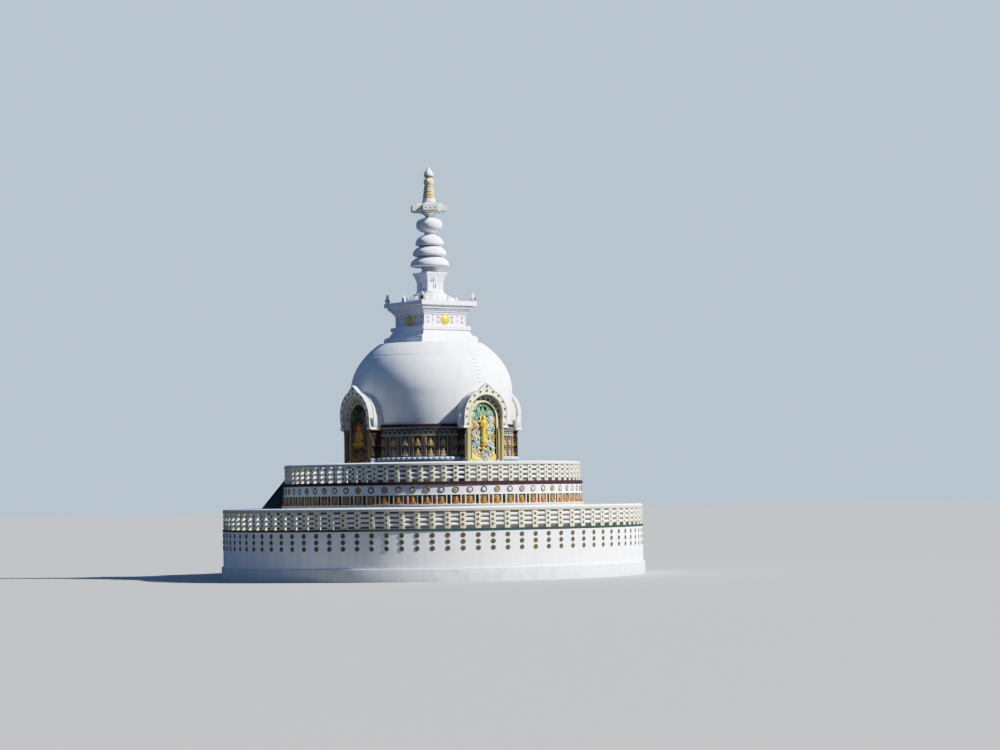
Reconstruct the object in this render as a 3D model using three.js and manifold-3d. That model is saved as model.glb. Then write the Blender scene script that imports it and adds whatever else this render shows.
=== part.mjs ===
// A white stupa on two round terraces, in millimetres, +Z up.
// The origin is on the axis at ground level. The stair climbs the +Y side.
import * as THREE from 'three';
import { mergeVertices } from 'three/addons/utils/BufferGeometryUtils.js';
import Module from 'manifold-3d';

const wasm = await Module();
wasm.setup();

// Clearance kept where a curved piece is cut to its neighbour
const clearance = 0.3;

// Levels, from the ground up
const plinthTop = 840;
const lowerWallTop = 3200;
const lowerFloor = 3330;
const nicheBottom = 4870;
const nicheTop = 5460;
const upperWallTop = 6180;
const upperFloor = 6320;
const ledgeBottom = 7770;
const ledgeTop = 7970;
const friezeTop = 9450;
const eavesBottom = 9950;
const domeBottom = 10160;
const domeTop = 15700;

// Round masses
const drumSides = 64;
const plinthRadius = 14300;
const lowerRadius = 14100;
const lowerSlabRadius = 14260;
const middleBaseRadius = 10200;
const nicheRadius = 10050;
const bandRadius = 10150;
const upperSlabRadius = 10270;
const shrineBaseRadius = 5650;
const ledgeRadius = 5830;
const friezeRadius = 5430;
const eavesBandRadius = 5460;
const eavesRadius = 5570;

// The dome: an ellipsoid cut flat under the square top
const domeRadius = 5490;
const domeHalfHeight = 4300;
const domeCentre = 12400;
const domeStretch = 1.9; // the part below its centre is drawn out this many times
const domeSides = 48;
const domeRings = 8;

// Open railings, one upright at each bay line
const railings = {
  lower: {
    floor: lowerFloor, radius: 14150, depth: 260, width: 300, postTop: 4440, copingTop: 4700,
    bars: [3600, 3905, 4210], barHeight: 190, bays: 80, panels: 8, gap: 47,
  },
  upper: {
    floor: upperFloor, radius: 10000, depth: 240, width: 260, postTop: 7370, copingTop: 7590,
    bars: [6570, 6875, 7180], barHeight: 180, bays: 70, panels: 7, gap: 52.7,
  },
};
const barDepth = 150;
const copingOverhang = 45;

// Arched porches on the four sides
const porchBack = 4700;
const jambFront = 6050;
const jambHalfWidth = 1550;
const vaultFront = 6000;
const vaultRadius = 1670;
const porchLedge = 9850;
const porchSpring = 10720;
const hoodFront = 6350;
const hoodRadius = 1750;
const hoodTip = 12800;
const hoodDepth = 460;
const hoodLean = 0.0714; // how far each hood tips forward for its height
const openingRadius = 1350;
const openingBack = 5980;
const recessRadius = 1080;
const recessSill = 7450;
const recessBack = 5840;
const reliefFront = 5950;
const figureFoot = 8620; // the standing figure on each relief

// Square top of the dome, as half sides
const harmikaBoxHalf = 1720;
const harmikaBoxBottom = 16870;
const harmikaBoxTop = 17650;
const harmikaTop = 18530;

// Spire levels
const turnedSides = 28;
const finialSides = 18;
const umbrellaTurn = -29; // degrees about the axis
const lotusTop = 19300;
const capitalTop = 20570;
const neckTop = 20950;
const ringTops = [21700, 22420, 23130];
const ringRadii = [1320, 1150, 960];
const umbrellaBottom = 24750;
const umbrellaStep = 25180;
const umbrellaTop = 25300;
const tipTop = 27840;

// Stair on the +Y side
const stairHalfWidth = 4100; // of the upper flight
const lowerHalfWidth = 2000;
const balustradeWidth = 300;
const landingHalfWidth = 5900;
const landingFront = 16000;
const upperStairHead = 10300;
const upperStairFoot = 14780;
const upperRisers = 17;
const lowerStairFoot = 20700;
const lowerRisers = 20;
const parapetHeight = 1340;
const parapetDepth = 250;
const landingBack = 12000; // inside the lower drum, where the drum cuts it
const flightBack = 8500;
const wingBack = 13050;

const finish = (color, roughness = 0.85, metalness = 0) => () =>
  new THREE.MeshStandardMaterial({ color, roughness, metalness });
const whitewash = finish('#eceef1');
const greyRender = finish('#b9bcc2');
const creamPaint = finish('#e9e2cd');
const carvedPaint = finish('#9a5b33');
const darkTrim = finish('#4a3a2c');
const blueTrim = finish('#a9c4d6');
const ochrePaint = finish('#d9a829');
const weatheredGold = finish('#c9b07a', 0.6);
const stairConcrete = finish('#cfd0d2');

const stupa = new THREE.Group();

function add(name, geometry, material, turn = 0) {
  const mesh = new THREE.Mesh(geometry, material());
  mesh.name = name;
  mesh.rotation.z = turn;
  stupa.add(mesh);
  return mesh;
}

function toSolid(geometry) {
  const bare = geometry.clone();
  bare.deleteAttribute('normal');
  bare.deleteAttribute('uv');
  const merged = mergeVertices(bare, 0.01);
  return new wasm.Manifold(new wasm.Mesh({
    numProp: 3,
    vertProperties: new Float32Array(merged.attributes.position.array),
    triVerts: new Uint32Array(merged.index.array),
  }));
}

function toGeometry(solid) {
  const mesh = solid.getMesh();
  const geometry = new THREE.BufferGeometry();
  geometry.setAttribute('position', new THREE.BufferAttribute(mesh.vertProperties, 3));
  geometry.setIndex(new THREE.BufferAttribute(mesh.triVerts, 1));
  return geometry;
}

// A turned solid: the profile lists radius and height, from the bottom to the top
function turned(profile, sides, start = 0) {
  const points = [[0, profile[0][1]], ...profile, [0, profile.at(-1)[1]]];
  const geometry = new THREE.LatheGeometry(points.map(([r, z]) => new THREE.Vector2(r, z)), sides, start);
  return geometry.rotateX(Math.PI / 2);
}

const drum = (radius, bottom, top, sides = drumSides) => turned([[radius, bottom], [radius, top]], sides);

// A square stack: like turned, with half sides in place of radii
const square = (profile) => turned(profile.map(([half, z]) => [half * Math.SQRT2, z]), 4, Math.PI / 4);

// A flat outline in x and z, given thickness from the front face at -y towards the back
function plate(outline, front, thickness) {
  const shape = new THREE.Shape(outline.map(([x, z]) => new THREE.Vector2(x, z)));
  const geometry = new THREE.ExtrudeGeometry(shape, { depth: thickness, bevelEnabled: false });
  return geometry.rotateX(Math.PI / 2).translate(0, thickness - front, 0);
}

// An outline in y and z, given a width along x from left to right
function sideways(outline, left, right) {
  const shape = new THREE.Shape(outline.map(([y, z]) => new THREE.Vector2(y, z)));
  const geometry = new THREE.ExtrudeGeometry(shape, { depth: right - left, bevelEnabled: false });
  geometry.rotateX(Math.PI / 2).rotateZ(Math.PI / 2);
  return geometry.translate(left, 0, 0);
}

// A closed strip through a list of equal rings of points
function strip(rings) {
  const sides = rings[0].length;
  const geometry = new THREE.BufferGeometry();
  geometry.setAttribute('position', new THREE.Float32BufferAttribute(rings.flat(2), 3));
  const index = [];
  for (let ring = 0; ring < rings.length - 1; ring += 1) {
    for (let side = 0; side < sides; side += 1) {
      const a = ring * sides + side;
      const b = ring * sides + (side + 1) % sides;
      index.push(a, b + sides, b, a, a + sides, b + sides);
    }
  }
  const last = (rings.length - 1) * sides;
  for (let side = 1; side < sides - 1; side += 1) {
    index.push(0, side, side + 1, last, last + side + 1, last + side);
  }
  geometry.setIndex(index);
  return geometry;
}

// A ring of points at an angle around the axis, from a section of radius and height
function sectionAt(section, angle, shift = 0) {
  const [c, s] = [Math.cos(angle), Math.sin(angle)];
  return section.map(([r, z]) => [r * c - shift * s, r * s + shift * c, z]);
}

function arcPoints(cx, cz, radius, from, to, steps) {
  return Array.from({ length: steps + 1 }, (_, i) => {
    const angle = THREE.MathUtils.degToRad(from + (to - from) * i / steps);
    return [cx + radius * Math.cos(angle), cz + radius * Math.sin(angle)];
  });
}

const mirrored = (points) => points.map(([x, z]) => [-x, z]).reverse();

// Round masses, from the ground to the dome
function buildMasses() {
  add('plinth_course', drum(plinthRadius, 0, plinthTop), greyRender);
  add('lower_drum', drum(lowerRadius, plinthTop, lowerWallTop), whitewash);
  add('lower_terrace', drum(lowerSlabRadius, lowerWallTop, lowerFloor), stairConcrete);
  add('middle_base', drum(middleBaseRadius, lowerFloor, nicheBottom), whitewash);
  add('niche_band', drum(nicheRadius, nicheBottom, nicheTop), carvedPaint);
  add('medallion_band', drum(bandRadius, nicheTop, upperWallTop), whitewash);
  add('upper_terrace', drum(upperSlabRadius, upperWallTop, upperFloor), darkTrim);
  add('shrine_base', drum(shrineBaseRadius, upperFloor, ledgeBottom, domeSides), whitewash);
  add('petal_ledge', drum(ledgeRadius, ledgeBottom, ledgeTop, domeSides), blueTrim);
  add('frieze_drum', drum(friezeRadius, ledgeTop, friezeTop, domeSides), carvedPaint);
  add('eaves_band', drum(eavesBandRadius, friezeTop, eavesBottom, domeSides), darkTrim);
  add('eaves_cornice', drum(eavesRadius, eavesBottom, domeBottom, domeSides), darkTrim);
}

function domeProfile(grow = 0) {
  return Array.from({ length: domeRings + 1 }, (_, i) => {
    const start = Math.asin((domeBottom - domeCentre) / domeHalfHeight / domeStretch);
    const end = Math.asin((domeTop - domeCentre) / domeHalfHeight);
    const angle = start + (end - start) * i / domeRings;
    const stretch = angle < 0 ? domeStretch : 1;
    return [domeRadius * Math.cos(angle) + grow, domeCentre + stretch * domeHalfHeight * Math.sin(angle)];
  });
}

// One open railing: uprights fused with three-sided bars, in panels of ten bays
function buildRailing(place, rail) {
  const { floor, radius, depth, width, postTop, copingTop, bars, barHeight, bays, panels, gap } = rail;
  const pitch = THREE.MathUtils.degToRad((360 - gap) / bays);
  const start = THREE.MathUtils.degToRad(90 + gap / 2);
  const middle = radius - depth / 2;
  const post = [[radius - depth, floor], [radius, floor], [radius, postTop], [radius - depth, postTop]];
  const perPanel = bays / panels;
  for (let panel = 0; panel < panels; panel += 1) {
    const first = panel * perPanel;
    const posts = panel === panels - 1 ? perPanel + 1 : perPanel;
    const solids = [];
    for (let i = 0; i < posts; i += 1) {
      const angle = start + (first + i) * pitch;
      solids.push(strip([-width / 2, width / 2].map((shift) => sectionAt(post, angle, shift))));
    }
    for (const level of bars) {
      const section = [
        [middle - barDepth / 2, level - barHeight / 2],
        [middle + barDepth / 2, level],
        [middle - barDepth / 2, level + barHeight / 2],
      ];
      const rings = [];
      for (let i = 0; i <= perPanel; i += 1) {
        const shift = i === perPanel && panel < panels - 1 ? -width / 2 - clearance : 0;
        rings.push(sectionAt(section, start + (first + i) * pitch, shift));
      }
      solids.push(strip(rings));
    }
    const fused = solids.map(toSolid).reduce((whole, solid) => whole.add(solid));
    add(`${place}_railing_${panel + 1}`, toGeometry(fused), creamPaint);
  }

  const inner = radius - depth - copingOverhang;
  const outer = radius + copingOverhang;
  const shoulder = postTop + 0.55 * (copingTop - postTop);
  const coping = [
    [inner, postTop], [outer, postTop], [outer, shoulder], [middle, copingTop], [inner, shoulder],
  ];
  const rings = [];
  for (let i = 0; i <= bays; i += 1) {
    const shift = i === 0 ? -width / 2 : i === bays ? width / 2 : 0;
    rings.push(sectionAt(coping, start + i * pitch, shift));
  }
  add(`${place}_coping`, strip(rings), whitewash);
}

// What a porch or a stair is cut to: the round masses, each grown by the clearance
function massCutter(list) {
  return list
    .map(([radius, bottom, top, sides]) => toSolid(drum(radius + 2 * clearance, bottom, top, sides)))
    .reduce((whole, solid) => whole.add(solid));
}

function archOutline(radius, sill) {
  const half = [[radius, sill], ...arcPoints(0, porchSpring, radius, 0, 83, 6)];
  return [...half, ...mirrored(half)];
}

// An arched porch: jambs, a vault that runs back into the dome, and a pointed hood with horned feet
function buildPorches() {
  const hoodHalf = [
    [vaultRadius, porchLedge],
    [vaultRadius + 230, porchLedge + 100],
    [2170, 10850],
    [1930, 10560],
    [1850, 10200],
    [hoodRadius, 10200],
    ...arcPoints(0, porchSpring, hoodRadius, 0, 70, 6),
    [300, 12530],
  ];
  const hood = [...hoodHalf, [0, hoodTip], ...mirrored(hoodHalf)];
  const jambs = [
    [jambHalfWidth, upperFloor], [jambHalfWidth, porchLedge + 50],
    [-jambHalfWidth, porchLedge + 50], [-jambHalfWidth, upperFloor],
  ];
  const cutter = massCutter([
    [shrineBaseRadius, upperFloor - 1, ledgeBottom, domeSides],
    [ledgeRadius, ledgeBottom - 1, ledgeTop, domeSides],
    [friezeRadius, ledgeTop - 1, friezeTop, domeSides],
    [eavesBandRadius, friezeTop - 1, eavesBottom, domeSides],
    [eavesRadius, eavesBottom - 1, domeBottom, domeSides],
  ]).add(toSolid(turned(domeProfile(2 * clearance), domeSides)));
  const ahead = hoodFront + 10;
  const opening = plate(archOutline(openingRadius, porchLedge - 10), ahead, ahead - openingBack);
  const recess = plate(archOutline(recessRadius, recessSill), ahead, ahead - recessBack);
  // The hood tips forward about its point, so its feet stand further back
  const tipped = plate(hood, hoodFront, hoodDepth).translate(0, 0, -hoodTip);
  tipped.applyMatrix4(new THREE.Matrix4().makeShear(0, 0, 0, 0, 0, -hoodLean));
  tipped.translate(0, 0, hoodTip);
  const solid = toSolid(plate(jambs, jambFront, jambFront - porchBack))
    .add(toSolid(plate(archOutline(vaultRadius, porchLedge), vaultFront, vaultFront - porchBack)))
    .add(toSolid(tipped))
    .subtract(toSolid(opening))
    .subtract(toSolid(recess))
    .subtract(cutter);
  const porch = toGeometry(solid);

  const panelOutline = archOutline(recessRadius - clearance, recessSill + clearance);
  const panel = plate(panelOutline, reliefFront, reliefFront - recessBack - clearance);
  const figure = turned([
    [300, 0], [340, 90], [210, 180], [190, 240], [240, 620], [190, 1120], [250, 1440], [225, 1600],
    [90, 1680], [140, 1800], [130, 1960], [60, 2080],
  ], 10).translate(0, -reliefFront, figureFoot);
  const behind = plate([[500, 8000], [500, 11000], [-500, 11000], [-500, 8000]], reliefFront - 50, 600);
  const relief = toGeometry(toSolid(figure).subtract(toSolid(behind)).add(toSolid(panel)));
  ['front', 'right', 'rear', 'left'].forEach((side, i) => {
    add(`${side}_porch`, porch, creamPaint, i * Math.PI / 2);
    add(`${side}_relief`, relief, ochrePaint, i * Math.PI / 2);
  });
}

// The square block on the dome, and the spire above it
function buildTop() {
  add('harmika_base', square([
    [2300, domeTop], [2300, 16050], [2230, 16190], [2030, 16240], [1870, 16560], [1870, 16600],
    [1970, 16600], [1970, harmikaBoxBottom],
  ]), whitewash);
  add('harmika_box', square([
    [harmikaBoxHalf, harmikaBoxBottom], [harmikaBoxHalf, harmikaBoxTop],
  ]), creamPaint);
  const cornice = toSolid(square([
    [1790, harmikaBoxTop], [1790, 17770], [1880, 17770], [1880, 17900], [1980, 17900], [1980, 18020],
    [2100, 18020], [2100, 18220], [2270, 18220], [2270, harmikaTop],
  ]));
  // Leaf-shaped points stand on the corners and, smaller, on the middle of each side
  const leaf = (half, height) => [
    [-half, harmikaTop - 60], [half, harmikaTop - 60], [half * 1.1, harmikaTop + 0.35 * height],
    [half * 0.45, harmikaTop + 0.7 * height], [0, harmikaTop + height],
    [-half * 0.45, harmikaTop + 0.7 * height], [-half * 1.1, harmikaTop + 0.35 * height],
  ];
  let crowned = cornice;
  for (let i = 0; i < 4; i += 1) {
    const turn = i * Math.PI / 2;
    const corner = plate(leaf(190, 560), 170, 220).rotateZ(Math.PI / 4);
    corner.translate(2060, -2060, 0).rotateZ(turn);
    crowned = crowned.add(toSolid(corner));
    const side = plate(leaf(170, 330), 2240, 160).rotateZ(turn);
    crowned = crowned.add(toSolid(side));
  }
  add('harmika_cornice', toGeometry(crowned), whitewash);

  add('lotus_base', turned([
    [1780, harmikaTop], [1850, harmikaTop + 170], [1600, harmikaTop + 330], [1240, harmikaTop + 430],
    [1040, harmikaTop + 560], [960, lotusTop],
  ], turnedSides), whitewash);
  const shaft = toSolid(square([
    [650, lotusTop], [670, 19930], [700, 20050], [780, 20300], [860, 20450], [860, capitalTop],
  ]));
  const neck = toSolid(turned([[500, capitalTop - 100], [500, neckTop]], turnedSides));
  add('spire_capital', toGeometry(shaft.add(neck)), whitewash);
  // Flat below and domed above, as shares of the ring's radius and height
  const ringShape = [
    [0.8, 0], [0.94, 0.04], [1, 0.19], [0.97, 0.42], [0.88, 0.62], [0.74, 0.8], [0.58, 0.93], [0.46, 1],
  ];
  const rings = ['lower_ring', 'middle_ring', 'upper_ring'];
  ringTops.forEach((top, i) => {
    const bottom = i === 0 ? neckTop : ringTops[i - 1];
    add(rings[i], turned(ringShape.map(([across, up]) => (
      [across * ringRadii[i], bottom + up * (top - bottom)]
    )), turnedSides), whitewash);
  });
  add('spire_ball', turned([
    [330, ringTops[2]], [330, 23370], [610, 23410], [800, 23570], [890, 23840], [830, 24080],
    [640, 24230], [390, 24290], [260, 24340], [260, 24500], [560, 24620], [560, umbrellaBottom],
  ], turnedSides), whitewash);
  buildUmbrella();
  add('finial', turned([
    [520, umbrellaTop], [460, 25440], [390, 25970], [330, 26280], [300, 26520], [360, 26770],
    [300, 26980], [210, 27070], [330, 27260], [260, 27500], [120, 27690], [20, tipTop],
  ], finialSides), weatheredGold);
}

// A thick slab umbrella, cross-shaped in plan, with a smaller step on top
function buildUmbrella() {
  const arm = (long, wide, bottom, top) => toSolid(
    new THREE.BoxGeometry(2 * long, 2 * wide, top - bottom).translate(0, 0, (top + bottom) / 2),
  );
  const steps = [[1200, 520, umbrellaBottom, umbrellaStep], [900, 380, umbrellaStep - 20, umbrellaTop]];
  const solid = steps
    .flatMap(([long, wide, bottom, top]) => [arm(long, wide, bottom, top), arm(wide, long, bottom, top)])
    .reduce((whole, piece) => whole.add(piece));
  add('umbrella', toGeometry(solid), whitewash, THREE.MathUtils.degToRad(umbrellaTurn));
}

// Solid stair flights, with a landing between them level with the lower terrace
function flightOutline(foot, head, footLevel, headLevel, risers, back) {
  const rise = (headLevel - footLevel) / risers;
  const going = (foot - head) / (risers - 1);
  const points = [[back, footLevel]];
  for (let i = 0; i < risers - 1; i += 1) {
    points.push([foot - i * going, footLevel + i * rise], [foot - i * going, footLevel + (i + 1) * rise]);
  }
  points.push([head, headLevel - rise]);
  if (back < head) {
    points.push([head, headLevel], [back, headLevel]);
  }
  return points;
}

function buildStair() {
  const terraceCutter = massCutter([
    [middleBaseRadius, lowerFloor - 1, nicheBottom, drumSides],
    [nicheRadius, nicheBottom - 1, nicheTop, drumSides],
    [bandRadius, nicheTop - 1, upperWallTop, drumSides],
    [upperSlabRadius, upperWallTop - 1, upperFloor + 2000, drumSides],
  ]);
  const drumCutter = massCutter([
    [plinthRadius, -1, plinthTop, drumSides],
    [lowerRadius, plinthTop - 1, lowerWallTop, drumSides],
    [lowerSlabRadius, lowerWallTop - 1, lowerFloor + 1, drumSides],
  ]);

  const landing = toSolid(sideways(
    [[landingBack, 0], [landingFront, 0], [landingFront, lowerFloor], [landingBack, lowerFloor]],
    -landingHalfWidth, landingHalfWidth,
  )).subtract(drumCutter);
  add('stair_landing', toGeometry(landing), whitewash);

  const lower = flightOutline(lowerStairFoot, landingFront, 0, lowerFloor, lowerRisers, landingFront);
  add('lower_flight', sideways(lower, -lowerHalfWidth, lowerHalfWidth), stairConcrete);
  const upper = flightOutline(
    upperStairFoot, upperStairHead, lowerFloor, upperFloor, upperRisers, flightBack,
  );
  const upperFlight = toSolid(sideways(upper, -stairHalfWidth, stairHalfWidth)).subtract(terraceCutter);
  add('upper_flight', toGeometry(upperFlight), stairConcrete);

  const lowerWall = [
    [landingFront, 0], [lowerStairFoot + 300, 0], [lowerStairFoot + 300, parapetHeight - 150],
    [lowerStairFoot - 200, parapetHeight], [landingFront, lowerFloor + parapetHeight],
  ];
  const upperWall = [
    [flightBack, lowerFloor], [upperStairFoot + 150, lowerFloor],
    [upperStairFoot + 150, lowerFloor + parapetHeight], [upperStairHead, upperFloor + parapetHeight],
    [flightBack, upperFloor + parapetHeight],
  ];
  for (const [side, sign] of [['east', 1], ['west', -1]]) {
    const beside = (halfWidth) => (
      [sign * (halfWidth + clearance), sign * (halfWidth + balustradeWidth)].sort((a, b) => a - b)
    );
    add(`${side}_lower_balustrade`, sideways(lowerWall, ...beside(lowerHalfWidth)), whitewash);
    const upperSolid = toSolid(sideways(upperWall, ...beside(stairHalfWidth))).subtract(terraceCutter);
    add(`${side}_upper_balustrade`, toGeometry(upperSolid), darkTrim);

    const outside = sign * landingHalfWidth;
    const inside = sign * (landingHalfWidth - parapetDepth);
    const parapetTop = lowerFloor + parapetHeight;
    const wingSide = sideways(
      [[wingBack, lowerFloor], [landingFront, lowerFloor], [landingFront, parapetTop],
        [wingBack, parapetTop]],
      Math.min(outside, inside), Math.max(outside, inside),
    );
    const frontEnd = sign * (lowerHalfWidth + clearance);
    const wingFront = sideways(
      [[landingFront - parapetDepth, lowerFloor], [landingFront, lowerFloor], [landingFront, parapetTop],
        [landingFront - parapetDepth, parapetTop]],
      Math.min(outside, frontEnd), Math.max(outside, frontEnd),
    );
    add(`${side}_wing_parapet`, toGeometry(toSolid(wingSide).add(toSolid(wingFront))), whitewash);
  }
}

buildMasses();
add('dome', turned(domeProfile(), domeSides), whitewash);
for (const [place, rail] of Object.entries(railings)) {
  buildRailing(place, rail);
}
buildPorches();
buildTop();
buildStair();

export default stupa;
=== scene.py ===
import bpy, bmesh, math, random
from collections import defaultdict
from mathutils import Matrix, Vector, noise


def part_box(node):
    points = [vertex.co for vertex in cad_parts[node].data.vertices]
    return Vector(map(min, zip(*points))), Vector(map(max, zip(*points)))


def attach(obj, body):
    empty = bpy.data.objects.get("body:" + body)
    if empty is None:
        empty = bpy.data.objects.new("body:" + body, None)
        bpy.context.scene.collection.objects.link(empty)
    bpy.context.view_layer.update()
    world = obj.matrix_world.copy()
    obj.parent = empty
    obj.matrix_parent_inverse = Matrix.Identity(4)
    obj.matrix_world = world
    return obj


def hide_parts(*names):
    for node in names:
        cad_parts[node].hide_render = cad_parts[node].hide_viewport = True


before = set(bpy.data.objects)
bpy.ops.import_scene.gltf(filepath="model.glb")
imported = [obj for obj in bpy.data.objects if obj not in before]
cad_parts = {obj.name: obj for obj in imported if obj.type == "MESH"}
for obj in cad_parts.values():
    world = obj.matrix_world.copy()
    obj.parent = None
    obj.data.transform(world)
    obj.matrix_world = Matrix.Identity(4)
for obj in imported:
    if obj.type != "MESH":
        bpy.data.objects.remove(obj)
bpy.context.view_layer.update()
print("frame loaded")


# node helpers

def fill(node, inputs):
    # links an input to a socket, or else sets its value
    for key, value in inputs.items():
        if isinstance(value, bpy.types.NodeSocket):
            node.id_data.links.new(value, node.inputs[key])
        else:
            node.inputs[key].default_value = value
    return node


def addNode(tree, kind, inputs={}, **settings):
    node = tree.nodes.new(kind)
    for key, value in settings.items():
        setattr(node, key, value)
    return fill(node, inputs)


def maths(tree, operation, *values):
    return addNode(tree, "ShaderNodeMath", dict(enumerate(values)), operation=operation).outputs[0]


def mapped(tree, value, low, high, toLow=0.0, toHigh=1.0, ease="LINEAR"):
    inputs = {"Value": value, "From Min": low, "From Max": high, "To Min": toLow, "To Max": toHigh}
    return addNode(tree, "ShaderNodeMapRange", inputs, interpolation_type=ease).outputs["Result"]


def mix(tree, factor, a, b, blend="MIX"):
    inputs = {"Factor": factor, "A": a, "B": b}
    return addNode(tree, "ShaderNodeMix", inputs, data_type="RGBA", blend_type=blend).outputs["Result"]


def startGroup(name, kind, inputs, outputs):
    # a new group, what its input node gives, and its output node
    tree = bpy.data.node_groups.new(name, kind)
    for way, sockets in (("INPUT", inputs), ("OUTPUT", outputs)):
        for socket, sort in sockets.items():
            tree.interface.new_socket(socket, in_out=way, socket_type="NodeSocket" + sort)
    return tree, tree.nodes.new("NodeGroupInput").outputs, tree.nodes.new("NodeGroupOutput")


def startMaterial(name, settings):
    material = bpy.data.materials.new(name)
    material.use_nodes = True
    return material, material.node_tree, fill(material.node_tree.nodes["Principled BSDF"], settings)


def newObject(name, data):
    made = bpy.data.objects.new(name, data)
    bpy.context.scene.collection.objects.link(made)
    return made


# camera, light and floor

view = {"place": (-106.7, -152.4, 5.2), "lens": 98.6, "yaw": 1.44, "pitch": 2.57, "roll": 0.83, "reach": 3000}
light = {"sky": (0.24, 0.50, 1.0, 1), "skyPower": 0.30, "backdrop": (0.50, 0.60, 0.72, 1),
         "sun": (1.0, 0.975, 0.93), "sunPower": 7.2, "sunWidth": 3, "sunWay": (0.615, -0.788),
         "sunHeight": 37}
ground = {"reach": 900, "near": 16, "far": 30, "nearTone": (0.33, 0.295, 0.215, 1),
          "farTone": (0.03, 0.035, 0.04, 1), "seenTone": (0.40, 0.40, 0.39, 1)}
shoulder = [(0.10, 0.20), (0.225, 0.445), (0.34, 0.60), (0.50, 0.735), (0.70, 0.865)]


def aimCamera(place, lens, yaw, pitch, roll, reach):
    # the angles are how far it turns away from the middle of the ground, how far up, and to the side
    camData = bpy.data.cameras.new("camera")
    camData.lens = lens
    camData.sensor_width = 36
    camData.clip_end = reach
    cam = newObject("camera", camData)
    heading = math.atan2(-place[1], -place[0]) - math.radians(yaw)
    rise = math.radians(pitch)
    ahead = Vector((math.cos(heading) * math.cos(rise), math.sin(heading) * math.cos(rise), math.sin(rise)))
    level = ahead.cross(Vector((0, 0, 1))).normalized()
    above = level.cross(ahead)
    lean = math.radians(roll)
    right = level * math.cos(lean) - above * math.sin(lean)
    up = above * math.cos(lean) + level * math.sin(lean)
    cam.matrix_world = Matrix((
        (right.x, up.x, -ahead.x, place[0]),
        (right.y, up.y, -ahead.y, place[1]),
        (right.z, up.z, -ahead.z, place[2]),
        (0, 0, 0, 1)))
    bpy.context.scene.camera = cam


def lightStage():
    world = bpy.data.worlds.new("studio")
    bpy.context.scene.world = world
    world.use_nodes = True
    tree = world.node_tree
    glow = fill(tree.nodes["Background"], {"Color": light["sky"], "Strength": light["skyPower"]})
    backdrop = addNode(tree, "ShaderNodeBackground", {"Color": light["backdrop"]})
    seen = addNode(tree, "ShaderNodeLightPath").outputs["Is Camera Ray"]
    both = addNode(tree, "ShaderNodeMixShader", {0: seen, 1: glow.outputs[0], 2: backdrop.outputs[0]})
    fill(tree.nodes["World Output"], {"Surface": both.outputs[0]})
    lampData = bpy.data.lights.new("softKey", "SUN")
    lampData.energy = light["sunPower"]
    lampData.angle = math.radians(light["sunWidth"])
    lampData.color = light["sun"]
    towards = Vector((*light["sunWay"], math.tan(math.radians(light["sunHeight"])))).normalized()
    newObject("softKey", lampData).rotation_euler = towards.to_track_quat("Z", "Y").to_euler()


def layFloor(reach, near, far, nearTone, farTone, seenTone):
    # pale to look at, and dull in the light that it sends up from further away
    mesh = bpy.data.meshes.new("floor")
    mesh.from_pydata([(-reach, -reach, 0), (reach, -reach, 0), (reach, reach, 0), (-reach, reach, 0)],
                     [], [(0, 1, 2, 3)])
    material, tree, shader = startMaterial("floorPale", {"Roughness": 0.9})
    place = addNode(tree, "ShaderNodeTexCoord").outputs["Object"]
    away = addNode(tree, "ShaderNodeVectorMath", {0: place}, operation="LENGTH").outputs["Value"]
    sent = mix(tree, mapped(tree, away, near, far), nearTone, farTone)
    seen = addNode(tree, "ShaderNodeLightPath").outputs["Is Camera Ray"]
    fill(shader, {"Base Color": mix(tree, seen, sent, seenTone)})
    mesh.materials.append(material)
    newObject("floor", mesh)


def softenWhites(points):
    # a soft shoulder, so that sunlit plaster keeps its shading
    settings = bpy.context.scene.view_settings
    settings.view_transform = "Standard"
    settings.use_curve_mapping = True
    mapping = settings.curve_mapping
    mapping.white_level = (2, 2, 2)
    curve = mapping.curves[3]
    curve.points[0].location = (0, 0)
    curve.points[-1].location = (1, 1)
    for x, y in points:
        curve.points.new(x, y)
    mapping.update()


aimCamera(**view)
lightStage()
layFloor(**ground)
softenWhites(shoulder)
print("camera, light and floor ready")


# finishes

def buildAgedPaint():
    # a colour with stains that run down, broad fading and a fine grain
    tree, given, result = startGroup(
        "agedPaint", "ShaderNodeTree",
        {"Vector": "Vector", "Colour": "Color", "Stain": "Color", "Amount": "Float", "Scale": "Float",
         "Streak": "Float", "Roughness": "Float"},
        {"Colour": "Color", "Roughness": "Float", "Height": "Float"})

    def cloud(vector, scale, detail):
        return addNode(tree, "ShaderNodeTexNoise", {"Vector": vector, "Scale": scale, "Detail": detail,
                                                    "Roughness": 0.6}).outputs["Fac"]

    def spread(*limits):
        return mapped(tree, *limits, ease="SMOOTHSTEP")

    tall = addNode(tree, "ShaderNodeMapping", {"Scale": (4.5, 4.5, 0.32), "Vector": given["Vector"]})
    blotch = cloud(given["Vector"], given["Scale"], 7.0)
    runs = cloud(tall.outputs["Vector"], given["Scale"], 5.0)
    broad = cloud(given["Vector"], 0.22, 3.0)
    grain = cloud(given["Vector"], 34.0, 4.0)
    hold = maths(tree, "MULTIPLY", runs, given["Streak"])
    rest = maths(tree, "MULTIPLY", blotch, maths(tree, "SUBTRACT", 1.0, given["Streak"]))
    mask = maths(tree, "MULTIPLY", spread(maths(tree, "ADD", hold, rest), 0.44, 0.72), given["Amount"])
    stained = mix(tree, mask, given["Colour"], given["Stain"])
    fill(result, {
        "Colour": mix(tree, spread(broad, 0.35, 0.7, 0.0, 0.16), stained, (0.5, 0.52, 0.56, 1), "MULTIPLY"),
        "Roughness": maths(tree, "ADD", given["Roughness"], spread(grain, 0.3, 0.7, -0.08, 0.08)),
        "Height": maths(tree, "ADD", maths(tree, "MULTIPLY", grain, 0.4), blotch)})
    return tree


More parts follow.
